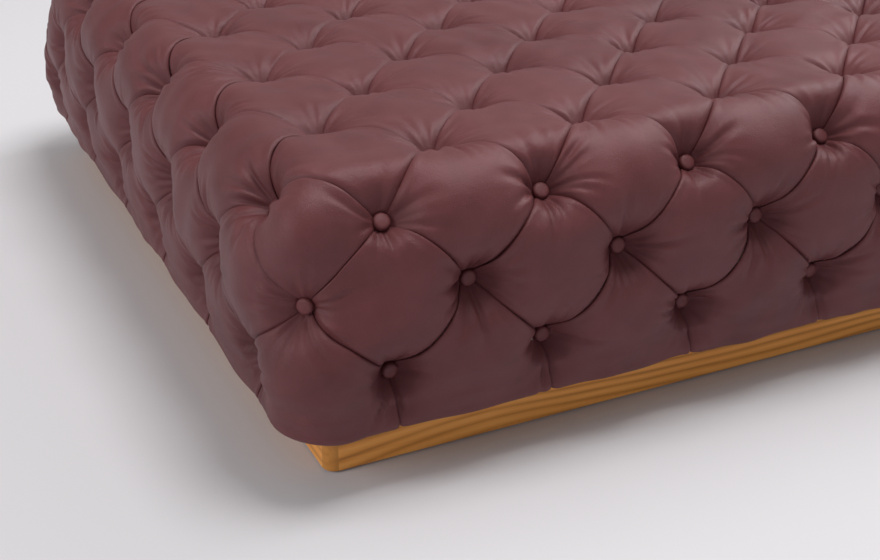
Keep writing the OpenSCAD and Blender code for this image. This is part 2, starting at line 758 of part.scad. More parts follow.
// Crowns of staples that lie under a sheet, twice to a pitch, along the line at an inset
module staple_row(inset, z) {
    for (k = [1 : 2 : cols - 1])
        let (p = out_point(k, -inset, z - staple_t / 2))
        translate(p) rotate([0, 0, plan_angle(k)]) cube([staple_w, staple_l, staple_t], center = true);
}
module hem_staples() { color(steel) staple_row((in_foam + in_dust) / 2, z_frame); }
module dust_cover_staples() { color(steel) staple_row((in_dust + plinth_inset) / 2, z_plinth); }

// Plinth: four rails mitred at rounded corners
module plinth_outline() {
    half_w = half_x - plinth_inset;
    half_d = half_y - plinth_inset;
    square([2 * half_w, 2 * (half_d - plinth_corner_r)], center = true);
    square([2 * (half_w - plinth_corner_r), 2 * half_d], center = true);
    for (c = corners)
        translate([c[0] * (half_w - plinth_corner_r), c[1] * (half_d - plinth_corner_r)])
            circle(r = plinth_corner_r, $fn = 64);
}
// A rail in front of the origin, for half lengths along and across it
module rail(half_along, half_across, turned) {
    a = half_along - plinth_inset;
    b = half_across - plinth_inset;
    color(honey_wood) translate([0, 0, z_rail]) linear_extrude(plinth_height) intersection() {
        plinth_outline();
        rotate(turned)
            polygon([[-a, -b], [a, -b], [a - plinth_t, plinth_t - b], [plinth_t - a, plinth_t - b]]);
    }
}
module plinth_front_rail() { rail(half_x, half_y, 0); }
module plinth_back_rail() { rail(half_x, half_y, 180); }
module plinth_left_rail() { rail(half_y, half_x, -90); }
module plinth_right_rail() { rail(half_y, half_x, 90); }

// Glue blocks, bored for the plinth bolts
module glue_block(centre, bolt) {
    color(pine) difference() {
        translate([centre[0] - block_w / 2, centre[1] - block_w / 2, z_rail + block_lift])
            cube([block_w, block_w, plinth_height - block_lift]);
        translate([bolt[0], bolt[1], z_rail])
            cylinder(d = bolt_d + 2 * fit_clearance, h = plinth_height + cut);
        translate([bolt[0], bolt[1], z_rail])
            cylinder(d = bolt_washer_d + 2 * fit_clearance, h = block_lift + bolt_recess);
    }
}
in_block = in_rail + block_w / 2;
module corner_block(side) {
    c = corners[side];
    glue_block([c[0] * (half_x - in_block), c[1] * (half_y - in_block)], bolt_places[side]);
}
module corner_block_front_left() { corner_block(0); }
module corner_block_front_right() { corner_block(1); }
module corner_block_back_right() { corner_block(2); }
module corner_block_back_left() { corner_block(3); }
module plinth_mid_blocks() {
    for (x = mid_block_x) for (side = [-1, 1])
        glue_block([x, side * (half_y - in_block)], [x, side * (half_y - in_bolt)]);
}

// Cross rails under the joists
module cross_rail(x) {
    color(pine) translate([x - cross_rail_w / 2, in_rail - half_y, z_rail])
        cube([cross_rail_w, 2 * (half_y - in_rail), plinth_height]);
}
module cross_rail_left() { cross_rail(joist_x[0]); }
module cross_rail_middle() { cross_rail(joist_x[1]); }
module cross_rail_right() { cross_rail(joist_x[2]); }

// Floor glides under the middle of the rails
module floor_glides() {
    in_glide = plinth_inset + plinth_t / 2;
    x_end = half_x - in_glide - button_pitch / 2;
    places = concat(
        [for (x = [-x_end, -button_pitch, button_pitch, x_end]) for (side = [-1, 1])
            [x, side * (half_y - in_glide)]],
        [for (side = [-1, 1]) [side * (half_x - in_glide), 0]]);
    color(black_cloth) for (p = places) translate([p[0], p[1], 0]) cylinder(d = glide_d, h = glide_h);
}

// Plinth bolts with their washers, and the tee nuts on the base boards
z_seat = z_rail + block_lift + bolt_recess;
module plinth_bolts() {
    color(steel) for (p = bolt_places) translate([p[0], p[1], z_seat - bolt_washer_t - bolt_head_h]) {
        cylinder(d = bolt_head_d, h = bolt_head_h, $fn = 6);
        cylinder(d = bolt_d, h = z_board + tee_flange_t - z_seat + bolt_washer_t + bolt_head_h);
    }
}
module bolt_washers() {
    color(steel) for (p = bolt_places) translate([p[0], p[1], z_seat - bolt_washer_t]) difference() {
        cylinder(d = bolt_washer_d, h = bolt_washer_t);
        translate([0, 0, -cut]) cylinder(d = bolt_d + 2 * fit_clearance, h = bolt_washer_t + 2 * cut);
    }
}
module tee_nuts() {
    color(steel) for (p = bolt_places) translate([p[0], p[1], z_board]) difference() {
        union() {
            cylinder(d = tee_flange_d, h = tee_flange_t);
            translate([0, 0, -tee_barrel_h]) cylinder(d = tee_barrel_d, h = tee_barrel_h + tee_flange_t);
        }
        translate([0, 0, -tee_barrel_h - cut])
            cylinder(d = bolt_d, h = tee_barrel_h + tee_flange_t + 2 * cut);
    }
}

plinth_front_rail();
plinth_back_rail();
plinth_left_rail();
plinth_right_rail();
corner_block_front_left();
corner_block_front_right();
corner_block_back_right();
corner_block_back_left();
plinth_mid_blocks();
cross_rail_left();
cross_rail_middle();
cross_rail_right();
floor_glides();
plinth_bolts();
bolt_washers();
tee_nuts();
base_front_board();
base_back_board();
base_left_board();
base_right_board();
front_panel();
back_panel();
left_panel();
right_panel();
corner_post_front_left();
corner_post_front_right();
corner_post_back_right();
corner_post_back_left();
joist_left();
joist_middle();
joist_right();
seat_deck_left();
seat_deck_right();
frame_screws();
dust_cover();
hem_staples();
dust_cover_staples();
seat_foam();
front_foam();
back_foam();
left_foam();
right_foam();
top_filling();
side_filling();
leather_top_left();
leather_top_right();
leather_front();
leather_right();
leather_back();
leather_left();
seat_buttons();
shoulder_buttons();
upper_row_buttons();
lower_row_buttons();
seat_twines();
side_twines();
seat_twine_washers();
side_twine_washers();
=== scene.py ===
import json
import math
from functools import partial
import bpy
import numpy as np
from mathutils import Matrix, Vector


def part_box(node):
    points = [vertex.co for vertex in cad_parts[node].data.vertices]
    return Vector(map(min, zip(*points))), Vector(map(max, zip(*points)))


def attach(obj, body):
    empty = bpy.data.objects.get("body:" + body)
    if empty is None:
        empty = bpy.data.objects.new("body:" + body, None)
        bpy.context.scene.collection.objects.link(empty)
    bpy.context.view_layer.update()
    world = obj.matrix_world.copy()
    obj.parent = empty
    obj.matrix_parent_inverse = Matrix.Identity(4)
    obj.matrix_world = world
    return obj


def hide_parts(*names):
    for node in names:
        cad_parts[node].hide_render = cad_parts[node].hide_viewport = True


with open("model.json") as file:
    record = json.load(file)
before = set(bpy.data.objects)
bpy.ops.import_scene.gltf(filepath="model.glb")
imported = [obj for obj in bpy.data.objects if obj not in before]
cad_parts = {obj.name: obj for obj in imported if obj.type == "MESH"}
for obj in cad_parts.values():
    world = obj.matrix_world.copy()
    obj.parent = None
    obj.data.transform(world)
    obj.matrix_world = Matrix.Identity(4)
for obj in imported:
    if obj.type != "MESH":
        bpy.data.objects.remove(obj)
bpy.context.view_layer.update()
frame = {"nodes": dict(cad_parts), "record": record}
nodes = frame["nodes"]
print("frame loaded:", len(nodes), "nodes")

# where the photograph was taken from: metres, degrees and millimetres of lens
view = {
    "place": (-1.404, -2.131, 1.1165),
    "turnRight": 25.61,
    "tiltDown": 27.33,
    "roll": 0.23,
    "lens": 60.14,
    "sensor": 36.0,
}


def makeCamera():
    data = bpy.data.cameras.new("camera")
    data.lens = view["lens"]
    data.sensor_width = view["sensor"]
    obj = bpy.data.objects.new("camera", data)
    bpy.context.scene.collection.objects.link(obj)
    turn = Matrix.Rotation(math.radians(-view["turnRight"]), 4, "Z")
    tilt = Matrix.Rotation(math.radians(90 - view["tiltDown"]), 4, "X")
    roll = Matrix.Rotation(math.radians(view["roll"]), 4, "Z")
    obj.matrix_world = Matrix.Translation(view["place"]) @ turn @ tilt @ roll
    bpy.context.scene.camera = obj


makeCamera()
print("camera placed")


# a socket on which + - * and ** add Math nodes
class Wire:
    def __init__(self, tree, socket):
        self.tree = tree
        self.socket = socket

    def feed(self, slot, value):
        if isinstance(value, Wire):
            self.tree.links.new(value.socket, slot)
        else:
            slot.default_value = value

    # settings go first, then the sockets by name, or by number as in_0, in_1
    def node(self, kind, settings=None, output=0, **values):
        made = self.tree.nodes.new(kind)
        for name, value in (settings or {}).items():
            if name == "stops":
                setStops(made.color_ramp, value)
            else:
                setattr(made, name, value)
        for name, value in values.items():
            key = name.replace("_", " ")
            slot = made.inputs[int(key[3:])] if key.startswith("in ") else made.inputs[key]
            self.feed(slot, value)
        return Wire(self.tree, made.outputs[output])

    def maths(self, operation, *values):
        sockets = {"in_%d" % number: value for number, value in enumerate(values)}
        return self.node("ShaderNodeMath", {"operation": operation}, 0, **sockets)

    def __add__(self, other):
        return self.maths("ADD", self, other)

    def __radd__(self, other):
        return self.maths("ADD", other, self)

    def __sub__(self, other):
        return self.maths("SUBTRACT", self, other)

    def __rsub__(self, other):
        return self.maths("SUBTRACT", other, self)

    def __mul__(self, other):
        return self.maths("MULTIPLY", self, other)

    def __rmul__(self, other):
        return self.maths("MULTIPLY", other, self)

    def __pow__(self, other):
        return self.maths("POWER", self, other)


def setStops(colours, stops):
    while len(colours.elements) < len(stops):
        colours.elements.new(1.0)
    for element, (where, colour) in zip(colours.elements, stops):
        element.position = where
        element.color = (*colour, 1.0)


def newMaterial(name, roughness=0.5, **fixed):
    material = bpy.data.materials.new(name)
    material.use_nodes = True
    tree = material.node_tree
    shader = tree.nodes["Principled BSDF"]
    shader.inputs["Roughness"].default_value = roughness
    for socket, value in fixed.items():
        shader.inputs[socket.replace("_", " ")].default_value = value
    coords = tree.nodes.new("ShaderNodeTexCoord")
    return material, shader, Wire(tree, coords.outputs["Object"])


def paint(shader, place, colour, roughness, relief, strength, depth):
    place.feed(shader.inputs["Base Color"], colour)
    place.feed(shader.inputs["Roughness"], roughness)
    normal = place.node("ShaderNodeBump", Strength=strength, Distance=depth, Height=relief)
    place.feed(shader.inputs["Normal"], normal)


def noise(place, scale, detail, rough):
    return place.node("ShaderNodeTexNoise", Vector=place, Scale=scale, Detail=detail, Roughness=rough)


def ramp(value, stops):
    return value.node("ShaderNodeValToRGB", {"stops": stops}, Fac=value)


def stretched(place, scale):
    return place.node("ShaderNodeMapping", Vector=place, Scale=scale)


def axisOf(place, axis):
    return place.node("ShaderNodeSeparateXYZ", output=axis, Vector=place)


# pattern scales are in cycles a metre, bump depths in metres
leatherLook = {
    "shader": {
        "Specular_IOR_Level": 0.46,
        "Specular_Tint": (1.0, 0.78, 0.84, 1.0),
        "Sheen_Weight": 0.03,
        "Sheen_Roughness": 0.5,
        "Sheen_Tint": (0.90, 0.55, 0.62, 1.0),
    },
    "deep": (0.080, 0.0180, 0.0188),
    "base": (0.106, 0.0255, 0.0270),
    "light": (0.132, 0.0350, 0.0372),
    "stops": {"deep": 0.30, "base": 0.50, "light": 0.72},
    "clouds": 3.2,
    "cloudShare": 0.55,
    "mottle": 26.0,
    "crackle": 150.0,
    "pores": 420.0,
    "poreSlope": 3.0,
    "poreFlat": 0.6,
    "grain": 900.0,
    "roughness": 0.505,
    "mottleRough": 0.08,
    "grainRough": 0.05,
    "relief": {"pores": 0.55, "grain": 0.35, "crackle": 0.8},
    "strength": 0.55,
    "depth": 0.0008,
    "buttonLighter": 1.12,
}


def makeLeather(name, lighter=1.0):
    look = leatherLook
    relief = look["relief"]
    material, shader, place = newMaterial(name, **look["shader"])
    clouds = noise(place, look["clouds"], 3.0, 0.55)
    mottle = noise(place, look["mottle"], 4.0, 0.6)
    crackle = noise(place, look["crackle"], 3.0, 0.6)
    fine = noise(place, look["grain"], 2.0, 0.6)
    cells = place.node("ShaderNodeTexVoronoi", {"feature": "DISTANCE_TO_EDGE"},
                       Vector=place, Scale=look["pores"])
    pores = cells.maths("MINIMUM", cells * look["poreSlope"], look["poreFlat"])
    tone = clouds * look["cloudShare"] + mottle * (1 - look["cloudShare"])
    stops = [(where, [channel * lighter for channel in look[shade]])
             for shade, where in look["stops"].items()]
    rough = look["roughness"] + (mottle - 0.5) * look["mottleRough"] + (fine - 0.5) * look["grainRough"]
    height = pores * relief["pores"] + fine * relief["grain"] + crackle * relief["crackle"]
    paint(shader, place, ramp(tone, stops), rough, height, look["strength"], look["depth"])
    return material


woodLook = {
    "dark": (0.460, 0.170, 0.030),
    "mid": (0.780, 0.320, 0.062),
    "light": (0.930, 0.440, 0.110),
    "stops": {"light": 0.18, "mid": 0.42, "dark": 0.75},
    "specular": 0.45,
    "alongShare": 0.22,  # how fast the figure changes along a rail, next to across it
    "bend": 5.0,
    "rings": 64.0,
    "slant": 0.35,
    "wander": 0.13,
    "contrast": 1.8,
    "ringLeast": 0.35,
    "ringBend": 1.1,
    "shares": {"ring": 0.46, "fibre": 0.42, "bend": 0.12},
    "fibre": (6, 260),
    "pores": (14, 900),
    "roughness": 0.38,
    "fibreRough": 0.16,
    "poreShare": 0.4,
    "strength": 0.15,
    "depth": 0.0004,
    "cornerBand": 0.0115,
    "cornerDark": 0.62,
    "cornerCover": 0.8,
}


def makeWood(name, along):
    look = woodLook
    shares = look["shares"]

    def lengthways(least, most):
        return (least, most, most) if along == "X" else (most, least, most)

    material, shader, place = newMaterial(name, Specular_IOR_Level=look["specular"])
    board = stretched(place, lengthways(look["alongShare"], 1.0))
    bend = noise(board, look["bend"], 2.0, 0.5)
    across = axisOf(board, 1 if along == "X" else 0)
    turns = (axisOf(board, 2) + across * look["slant"] + bend * look["wander"]) * look["rings"]
    ring = (turns.maths("PINGPONG", turns, 0.5) * 2.0) ** look["contrast"]
    ring = ring * (look["ringLeast"] + bend * look["ringBend"])
    fibre = grain(place, lengthways(*look["fibre"]), 3.0, 0.6)
    pores = grain(place, lengthways(*look["pores"]), 2.0, 0.6)
    tone = ring * shares["ring"] + fibre * shares["fibre"] + bend * shares["bend"]
    colour = ramp(tone, [(where, look[shade]) for shade, where in look["stops"].items()])
    # a thin band at the rounded corners, where both rails end, is coloured darker
    inCorner = 1.0
    for axis, end in enumerate((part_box("plinth_front_rail")[1].x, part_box("plinth_right_rail")[1].y)):
        reach = axisOf(place, axis)
        past = reach.maths("GREATER_THAN", reach.maths("ABSOLUTE", reach), end - look["cornerBand"])
        inCorner = past * inCorner
    darker = [channel * look["cornerDark"] for channel in look["mid"]]
    colour = place.node("ShaderNodeMix", {"data_type": "RGBA"}, 2,
                        in_0=inCorner * look["cornerCover"], in_6=colour, in_7=(*darker, 1.0))
    height = fibre * (1 - look["poreShare"]) + pores * look["poreShare"]
    paint(shader, place, colour, look["roughness"] + fibre * look["fibreRough"], height,
          look["strength"], look["depth"])
    return material


# the other finishes, by the record's slot: patterns, and their shares in colour, relief and roughness
finishes = {
    "plywood": {
        "name": "birch_plywood", "shades": ((0.50, 0.34, 0.18), (0.74, 0.56, 0.35)), "stops": (0.3, 0.7),
        "patterns": [("grain", (8, 60, 8), 4.0, 0.6), ("grain", (30, 600, 600), 2.0, 0.5)],
        "colour": (0.70, 0.30), "relief": (0, 1), "rough": (0, 0.15), "least": 0.55, "bump": (0.15, 0.0004),
    },
    "pine": {
        "name": "pine", "shades": ((0.66, 0.43, 0.20), (0.85, 0.66, 0.38)), "stops": (0.3, 0.7),
        "patterns": [("grain", (4, 4, 40), 3.0, 0.6), ("grain", (40, 40, 500), 2.0, 0.5)],
        "colour": (0.75, 0.25), "relief": (0, 1), "rough": (0, 0.16), "least": 0.52, "bump": (0.15, 0.0004),
    },
    "foam": {
        "name": "open_cell_foam", "shades": ((0.66, 0.57, 0.28), (0.88, 0.81, 0.52)),
        "patterns": [("haze", 9.0, 3.0, 0.5), ("cells", 700.0)],
        "colour": (0.6, 0.4), "relief": (0, 1), "least": 0.9, "bump": (0.5, 0.0008),
    },
    "filling": {
        "name": "fibre_filling", "shades": ((0.66, 0.66, 0.64), (0.90, 0.90, 0.88)),
        "stops": (0.3, 0.7), "patterns": [("grain", (90, 300, 300), 4.0, 0.7)],
        "colour": (1,), "relief": (1,), "least": 0.95, "bump": (0.6, 0.002),
    },
    "twine": {
        "name": "waxed_twine", "shades": ((0.008, 0.008, 0.009), (0.035, 0.033, 0.032)),
        "patterns": [("weave", 400.0), ("haze", 220.0, 3.0, 0.6)],
        "colour": (0.5, 0.5), "relief": (1, 1), "least": 0.9, "bump": (0.35, 0.0005),
    },
    "dust_cloth": {
        "name": "black_dust_cloth", "shades": ((0.010, 0.010, 0.011), (0.040, 0.040, 0.043)),
        "patterns": [("weave", 180.0), ("haze", 220.0, 3.0, 0.6)],
        "colour": (0.5, 0.5), "relief": (1, 1), "least": 0.9, "bump": (0.35, 0.0005),
    },
    "zinc_steel": {
        "name": "zinc_plated_steel", "shades": ((0.42, 0.43, 0.44), (0.66, 0.67, 0.68)),
        "patterns": [("cells", 260.0), ("haze", 60.0, 3.0, 0.6)], "metallic": 1.0,
        "colour": (0.5, 0.5), "relief": (0, 1), "rough": (0, 0.2), "least": 0.28, "bump": (0.08, 0.0003),
    },
    "glide_nylon": {
        "name": "glide_nylon", "shades": ((0.012, 0.012, 0.013), (0.035, 0.035, 0.037)),
        "stops": (0.3, 0.7), "patterns": [("haze", 300.0, 3.0, 0.6)],
        "colour": (1,), "relief": (1,), "rough": (0.2,), "least": 0.42, "bump": (0.15, 0.0003),
    },
}


def grain(place, scale, detail, rough):
    return noise(stretched(place, scale), 1.0, detail, rough)


def cells(place, scale):
    return place.node("ShaderNodeTexVoronoi", Vector=place, Scale=scale)


def weave(place, threads):
    warp, weft = [place.node("ShaderNodeTexWave", {"bands_direction": axis}, 1, Vector=place, Scale=threads)
                  for axis in "XY"]
    return warp * weft


patternKinds = {"grain": grain, "haze": noise, "cells": cells, "weave": weave}


def makeFinish(look):
    material, shader, place = newMaterial(look["name"], Metallic=look.get("metallic", 0.0))
    patterns = [patternKinds[kind](place, *values) for kind, *values in look["patterns"]]

    def mixed(key):
        return sum(pattern * share for pattern, share in zip(patterns, look.get(key, ())) if share)

    colour = ramp(mixed("colour"), list(zip(look.get("stops", (0.2, 0.8)), look["shades"])))
    paint(shader, place, colour, look["least"] + mixed("rough"), mixed("relief"), *look["bump"])
    return material


leather = makeLeather("burgundy_leather")
buttonLeather = makeLeather("button_leather", leatherLook["buttonLighter"])
woodX = makeWood("honey_wood_along_x", "X")
woodY = makeWood("honey_wood_along_y", "Y")
hidden = {slot: makeFinish(look) for slot, look in finishes.items()}
print("materials made")

# the sewn cover, in metres, pitches and shares
cover = {
    "pitch": 0.22,
    "pitchesWide": 8,
    "pitchesDeep": 6,
    "buttonHeight": 0.015,
    "padHeight": 0.038,
    "sideSwell": 0.020,
    "topRise": 0.036,
    "pleatShare": 0.87,
    "bellyHeight": 0.050,
    "bellyShare": 0.6,
    "fullness": 2.1,
    "dipDepth": 0.010,
    "sideTuck": 0.001,
    "topTuck": 0.002,
    "shoulderInset": 0.016,
    "shoulderLift": 0.004,
    "leanReach": 0.75,
    "edgeOverhang": 0.031,
    "edgeSwell": 0.0035,
    "edgeRadius": 0.009,
    "hemInset": 0.029,
    "cornerRound": 0.048,
    "endShift": 0.008,
    "cells": 56,
    "innerStep": 4,
    "crowding": 0.6,
    "innerDepth": 0.005,
    "shrink": 0.006,
    "seed": 11,
}
pitch = cover["pitch"]
wide = cover["pitchesWide"]
deep = cover["pitchesDeep"]
halfX = wide * pitch / 2
halfY = deep * pitch / 2
cell = pitch / math.sqrt(2)
slant = math.sqrt(0.5)  # the shoulder's pads rise at 45 degrees
wholeTurn = 6.28
tiny = 1e-9
zLower = sum(corner.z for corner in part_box("lower_row_buttons")) / 2
zUpper = sum(corner.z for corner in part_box("upper_row_buttons")) / 2
rowGap = zUpper - zLower
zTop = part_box("seat_buttons")[1].z - cover["buttonHeight"]
zShoulder = zTop - cover["topRise"] + cover["dipDepth"] * (1 - slant)
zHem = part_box("base_front_board")[0].z
shoulderDip = cover["shoulderInset"] + cover["dipDepth"] * slant
chance = np.random.default_rng(cover["seed"])

sides = [
    {"start": (-halfX, -halfY), "along": (1, 0), "out": (0, -1), "length": wide},
    {"start": (halfX, -halfY), "along": (0, 1), "out": (1, 0), "length": deep},
    {"start": (halfX, halfY), "along": (-1, 0), "out": (0, 1), "length": wide},
    {"start": (-halfX, halfY), "along": (0, -1), "out": (-1, 0), "length": deep},
]


def waysOf(side):
    return [np.array(side[key], float) for key in ("start", "along", "out")]


def smooth(x):
    x = np.clip(x, 0.0, 1.0)
    return x * x * (3.0 - 2.0 * x)


def unit(vectors):
    return vectors / np.linalg.norm(vectors, axis=-1, keepdims=True)


def spline(t, knots, values):
    knots = np.array(knots)
    values = np.array(values)
    slopes = np.gradient(values, knots)
    i = np.clip(np.searchsorted(knots, t) - 1, 0, len(knots) - 2)
    span = knots[i + 1] - knots[i]
    u = np.clip((t - knots[i]) / span, 0.0, 1.0)
    return ((1 + 2 * u) * (1 - u) ** 2 * values[i] + u * (1 - u) ** 2 * span * slopes[i]
            + u * u * (3 - 2 * u) * values[i + 1] - u * u * (1 - u) * span * slopes[i + 1])


# the dips' line over the shoulder, by pitches from the shoulder row, positive on the top
profile = {
    "knots": [-1.0, -0.5, -0.25, 0.0, 0.25, 0.5, 1.0],
    "out": [-cover["dipDepth"], -cover["dipDepth"], -cover["dipDepth"] - cover["sideTuck"],
            -shoulderDip, -pitch / 4 - cover["topTuck"], -pitch / 2, -pitch],
    "up": [zLower, zUpper, (zUpper + zShoulder) / 2 + cover["shoulderLift"], zShoulder,
           zTop, zTop, zTop],
}


# how steeply the pads rise: level on the sides, upright on the top
def lean(t):
    return np.radians(90.0) * smooth((t + cover["leanReach"]) / (2 * cover["leanReach"]))


def topFrame(x, y):
    s = (x + halfX) / pitch
    t = (y + halfY) / pitch
    base = np.stack([x, y, np.full_like(x, zTop)], -1)
    way = np.stack([np.zeros_like(x), np.zeros_like(x), np.ones_like(x)], -1)
    for distance, axis, sign in ((s, 0, -1), (wide - s, 0, 1), (t, 1, -1), (deep - t, 1, 1)):
        near = np.clip(distance, 0.0, 0.5)
        inside = distance < 0.5
        tilt = lean(np.clip(distance, 0.0, cover["leanReach"]))
        shift = spline(near, profile["knots"], profile["out"]) + near * pitch
        rise = spline(near, profile["knots"], profile["up"]) - zTop
        base[..., axis] += np.where(inside, sign * shift, 0.0)
        base[..., 2] += np.where(inside, rise, 0.0)
        way[..., axis] += sign * np.cos(tilt) / np.sin(tilt)
    return base, unit(way)


# the same by lattice place, in pitches from the front left corner
def onTop(s, t):
    return topFrame(s * pitch - halfX, t * pitch - halfY)


# a side's frame, rounded at both vertical corners
def sideFrame(side, q, out, up, tilt):
    start, along, outward = waysOf(side)
    run = q * pitch
    total = side["length"] * pitch
    curve = cover["cornerRound"]
    first = np.clip(1 - run / curve, 0.0, 1.0)
    last = np.clip(1 - (total - run) / curve, 0.0, 1.0)
    turn = np.radians(45.0) * (last - first)
    centre = np.clip(run, curve, total - curve)
    reach = curve + out
    a = centre + reach * np.sin(turn)
    b = reach * np.cos(turn) - curve
    plan = start + a[..., None] * along + b[..., None] * outward
    base = np.concatenate([plan, up[..., None]], -1)
    way = np.sin(turn)[..., None] * along + np.cos(turn)[..., None] * outward
    return base, unit(np.concatenate([way, np.tan(tilt)[..., None]], -1))


# a side and the top beyond it: q pitches along, t pitches up over the shoulder row
def coverFrame(side, q, t):
    low = np.minimum(t, 0.0)
    out = spline(low, profile["knots"], profile["out"])
    up = spline(low, profile["knots"], profile["up"])
    base, way = sideFrame(side, q, out, up, lean(low))
    start, along, outward = waysOf(side)
    plan = start + (q * pitch)[..., None] * along - (np.maximum(t, 0.0) * pitch)[..., None] * outward
    topBase, topWay = topFrame(plan[..., 0], plan[..., 1])
    above = (t >= 0)[..., None]
    return np.where(above, topBase, base), np.where(above, topWay, way)


# the ends of the long sides stand out a little past half a pitch
def endShift(points):
    x = points[..., 0]
    past = smooth((np.abs(x) - halfX + pitch / 2) / (pitch / 2))
    raised = smooth((points[..., 2] - zLower) / rowGap)
    moved = points.copy()
    moved[..., 0] = x + np.sign(x) * cover["endShift"] * past * raised
    return moved


def fullness(t):
    return cover["padHeight"] + cover["sideSwell"] * (1 - smooth(t / 0.5))


def bulge(d):
    return 1.0 - (1.0 - 2.0 * np.clip(d, 0.0, 0.5)) ** cover["fullness"]


def padShare(a, b):
    return cover["pleatShare"] * (a + b - a * b) + (1 - cover["pleatShare"]) * a * b


# the leather stays under a button's rim, and rises from there
funnel = {
    "level": 0.0078,
    "radius": 0.0118,
    "slope": 1.35,
    "blend": 0.007,
}


def underRim(height, r):
    limit = funnel["level"] + funnel["slope"] * np.maximum(r - funnel["radius"], 0.0)
    gap = np.clip(0.5 + 0.5 * (limit - height) / funnel["blend"], 0.0, 1.0)
    return limit * (1 - gap) + height * gap - funnel["blend"] * gap * (1 - gap)


# one pleat of each top corner is drawn tight, and the one round the corner stands out
tight = {
    "share": 0.62,
    "loose": 0.28,
    "reach": 0.048,
    "inset": 0.012,
}


def tightness(base):
    share = np.ones(base.shape[:-1])
    for side in sides:
        start, along, outward = waysOf(side)
        for plan, change in ((start + along * pitch / 4 - outward * tight["inset"], -tight["share"]),
                             (start - outward * pitch / 4 + along * tight["inset"], tight["loose"])):
            middle = np.array([*plan, (zUpper + zShoulder) / 2])
            far = ((base - middle) ** 2).sum(-1)
            share = share * (1 + change * np.exp(-far / (2 * tight["reach"] ** 2)))
    return share


# grid lines from 0 to 1 that crowd towards both ends
def crowded(count):
    x = np.linspace(0.0, 1.0, count + 1)
    return x - cover["crowding"] * np.sin(2 * np.pi * x) / (2 * np.pi)


# how a pad's edge turns down into its pleat, as a lip or under a neighbour's lip
pleat = {
    "reach": 0.010,
    "lipRadius": 0.0032,
    "lipOver": 0.0013,
    "lipLift": 0.0007,
    "lipTurn": 115.0,
    "underDepth": 0.0068,
    "underSlide": 0.0012,
    "underCurve": 2.2,
    "buttonFade": 0.030,
    "leastSize": 0.35,
}


def lipTurn(distance, size):
    u = np.clip(1.0 - distance / pleat["reach"], 0.0, 1.0)
    radius = pleat["lipRadius"] * size
    over = pleat["lipOver"] * size
    flat = pleat["reach"] - radius + over
    path = u * (flat + radius * math.radians(pleat["lipTurn"]))
    angle = np.maximum(path - flat, 0.0) / radius
    x = np.where(path < flat, pleat["reach"] - path, radius - over - radius * np.sin(angle))
    rise = pleat["lipLift"] * size * smooth(path / flat) - radius * (1 - np.cos(angle))
    return np.where(u > 0, distance - x, 0.0), np.where(u > 0, rise, 0.0)


def underTurn(distance, size):
    u = np.clip(1.0 - distance / pleat["reach"], 0.0, 1.0)
    return pleat["underSlide"] * size * u * u, -pleat["underDepth"] * size * u ** pleat["underCurve"]


def edgeSize(fromButton):
    return pleat["leastSize"] + (1 - pleat["leastSize"]) * smooth(fromButton / pleat["buttonFade"])


# folds that fan out from a button over a pad's corner
folds = {
    "top": {
        "count": (4, 6),
        "length": (0.045, 0.110),
        "depth": (0.0007, 0.0025),
        "width": (0.0030, 0.0056),
    },
    "side": {
        "count": (4, 7),
        "length": (0.045, 0.100),
        "depth": (0.0018, 0.0052),
        "width": (0.0028, 0.0054),
    },
    "fan": 0.86,
    "jitter": 0.09,
    "curl": 2.6,
    "sector": 1.4,
    "start": 0.010,
    "ease": 0.014,
    "holdShare": 0.35,
    "narrow": 0.55,
    "flare": 0.9,
    "ridge": 0.45,
    "ridgeAway": 1.9,
    "ridgeWidth": 1.1,
    "gatherStart": 0.008,
    "gatherEase": 0.006,
    "gatherReach": 0.032,
    "gatherDepth": 0.0010,
    "gatherCount": (17, 23),
    "edgeShare": 0.3,
    "edgeReach": 0.009,
}


def fanOfFolds(x, y, facing, halfAngle, kind="side"):
    look = folds[kind]
    r = np.hypot(x, y) + tiny
    angle = (np.arctan2(y, x) - facing + np.pi) % (2 * np.pi) - np.pi
    height = np.zeros_like(r)
    count = chance.integers(*look["count"])
    places = np.linspace(-folds["fan"], folds["fan"], count) * halfAngle
    places += chance.uniform(-folds["jitter"], folds["jitter"], count)
    for place in places:
        length = chance.uniform(*look["length"])
        depth = chance.uniform(*look["depth"])
        width = chance.uniform(*look["width"])
        curve = chance.uniform(-folds["curl"], folds["curl"])
        off = r * np.sin(np.clip(angle - place - curve * r, -folds["sector"], folds["sector"]))
        broad = width * (folds["narrow"] + folds["flare"] * r / length)
        hold = folds["holdShare"] * length
        run = smooth((r - folds["start"]) / folds["ease"]) * (1 - smooth((r - hold) / (length - hold)))
        valley = np.exp(-(off / broad) ** 2)
        ridge = np.exp(-((np.abs(off) - folds["ridgeAway"] * broad) / (folds["ridgeWidth"] * broad)) ** 2)
        height += depth * run * (folds["ridge"] * ridge - valley)
    near = smooth((r - folds["gatherStart"]) / folds["gatherEase"]) * (1 - smooth(r / folds["gatherReach"]))
    phase = chance.uniform(0, wholeTurn)
    height += folds["gatherDepth"] * near * np.sin(angle * chance.integers(*folds["gatherCount"]) + phase)
    return height


# the leather is never quite even
waves = {
    "count": 4,
    "length": (0.045, 0.13),
    "height": 0.0011,
    "fade": 1.3,
}


def unevenness(x, y):
    height = np.zeros_like(x)
    for wave in range(waves["count"]):
        turn = chance.uniform(0, wholeTurn)
        length = chance.uniform(*waves["length"])
        along = x * math.cos(turn) + y * math.sin(turn)
        height += np.sin(along * wholeTurn / length + chance.uniform(0, wholeTurn))
    return height * waves["height"] / 2


# folds and unevenness calm down where two pads meet
def calmEdge(distance):
    return folds["edgeShare"] + (1 - folds["edgeShare"]) * smooth(distance / folds["edgeReach"])


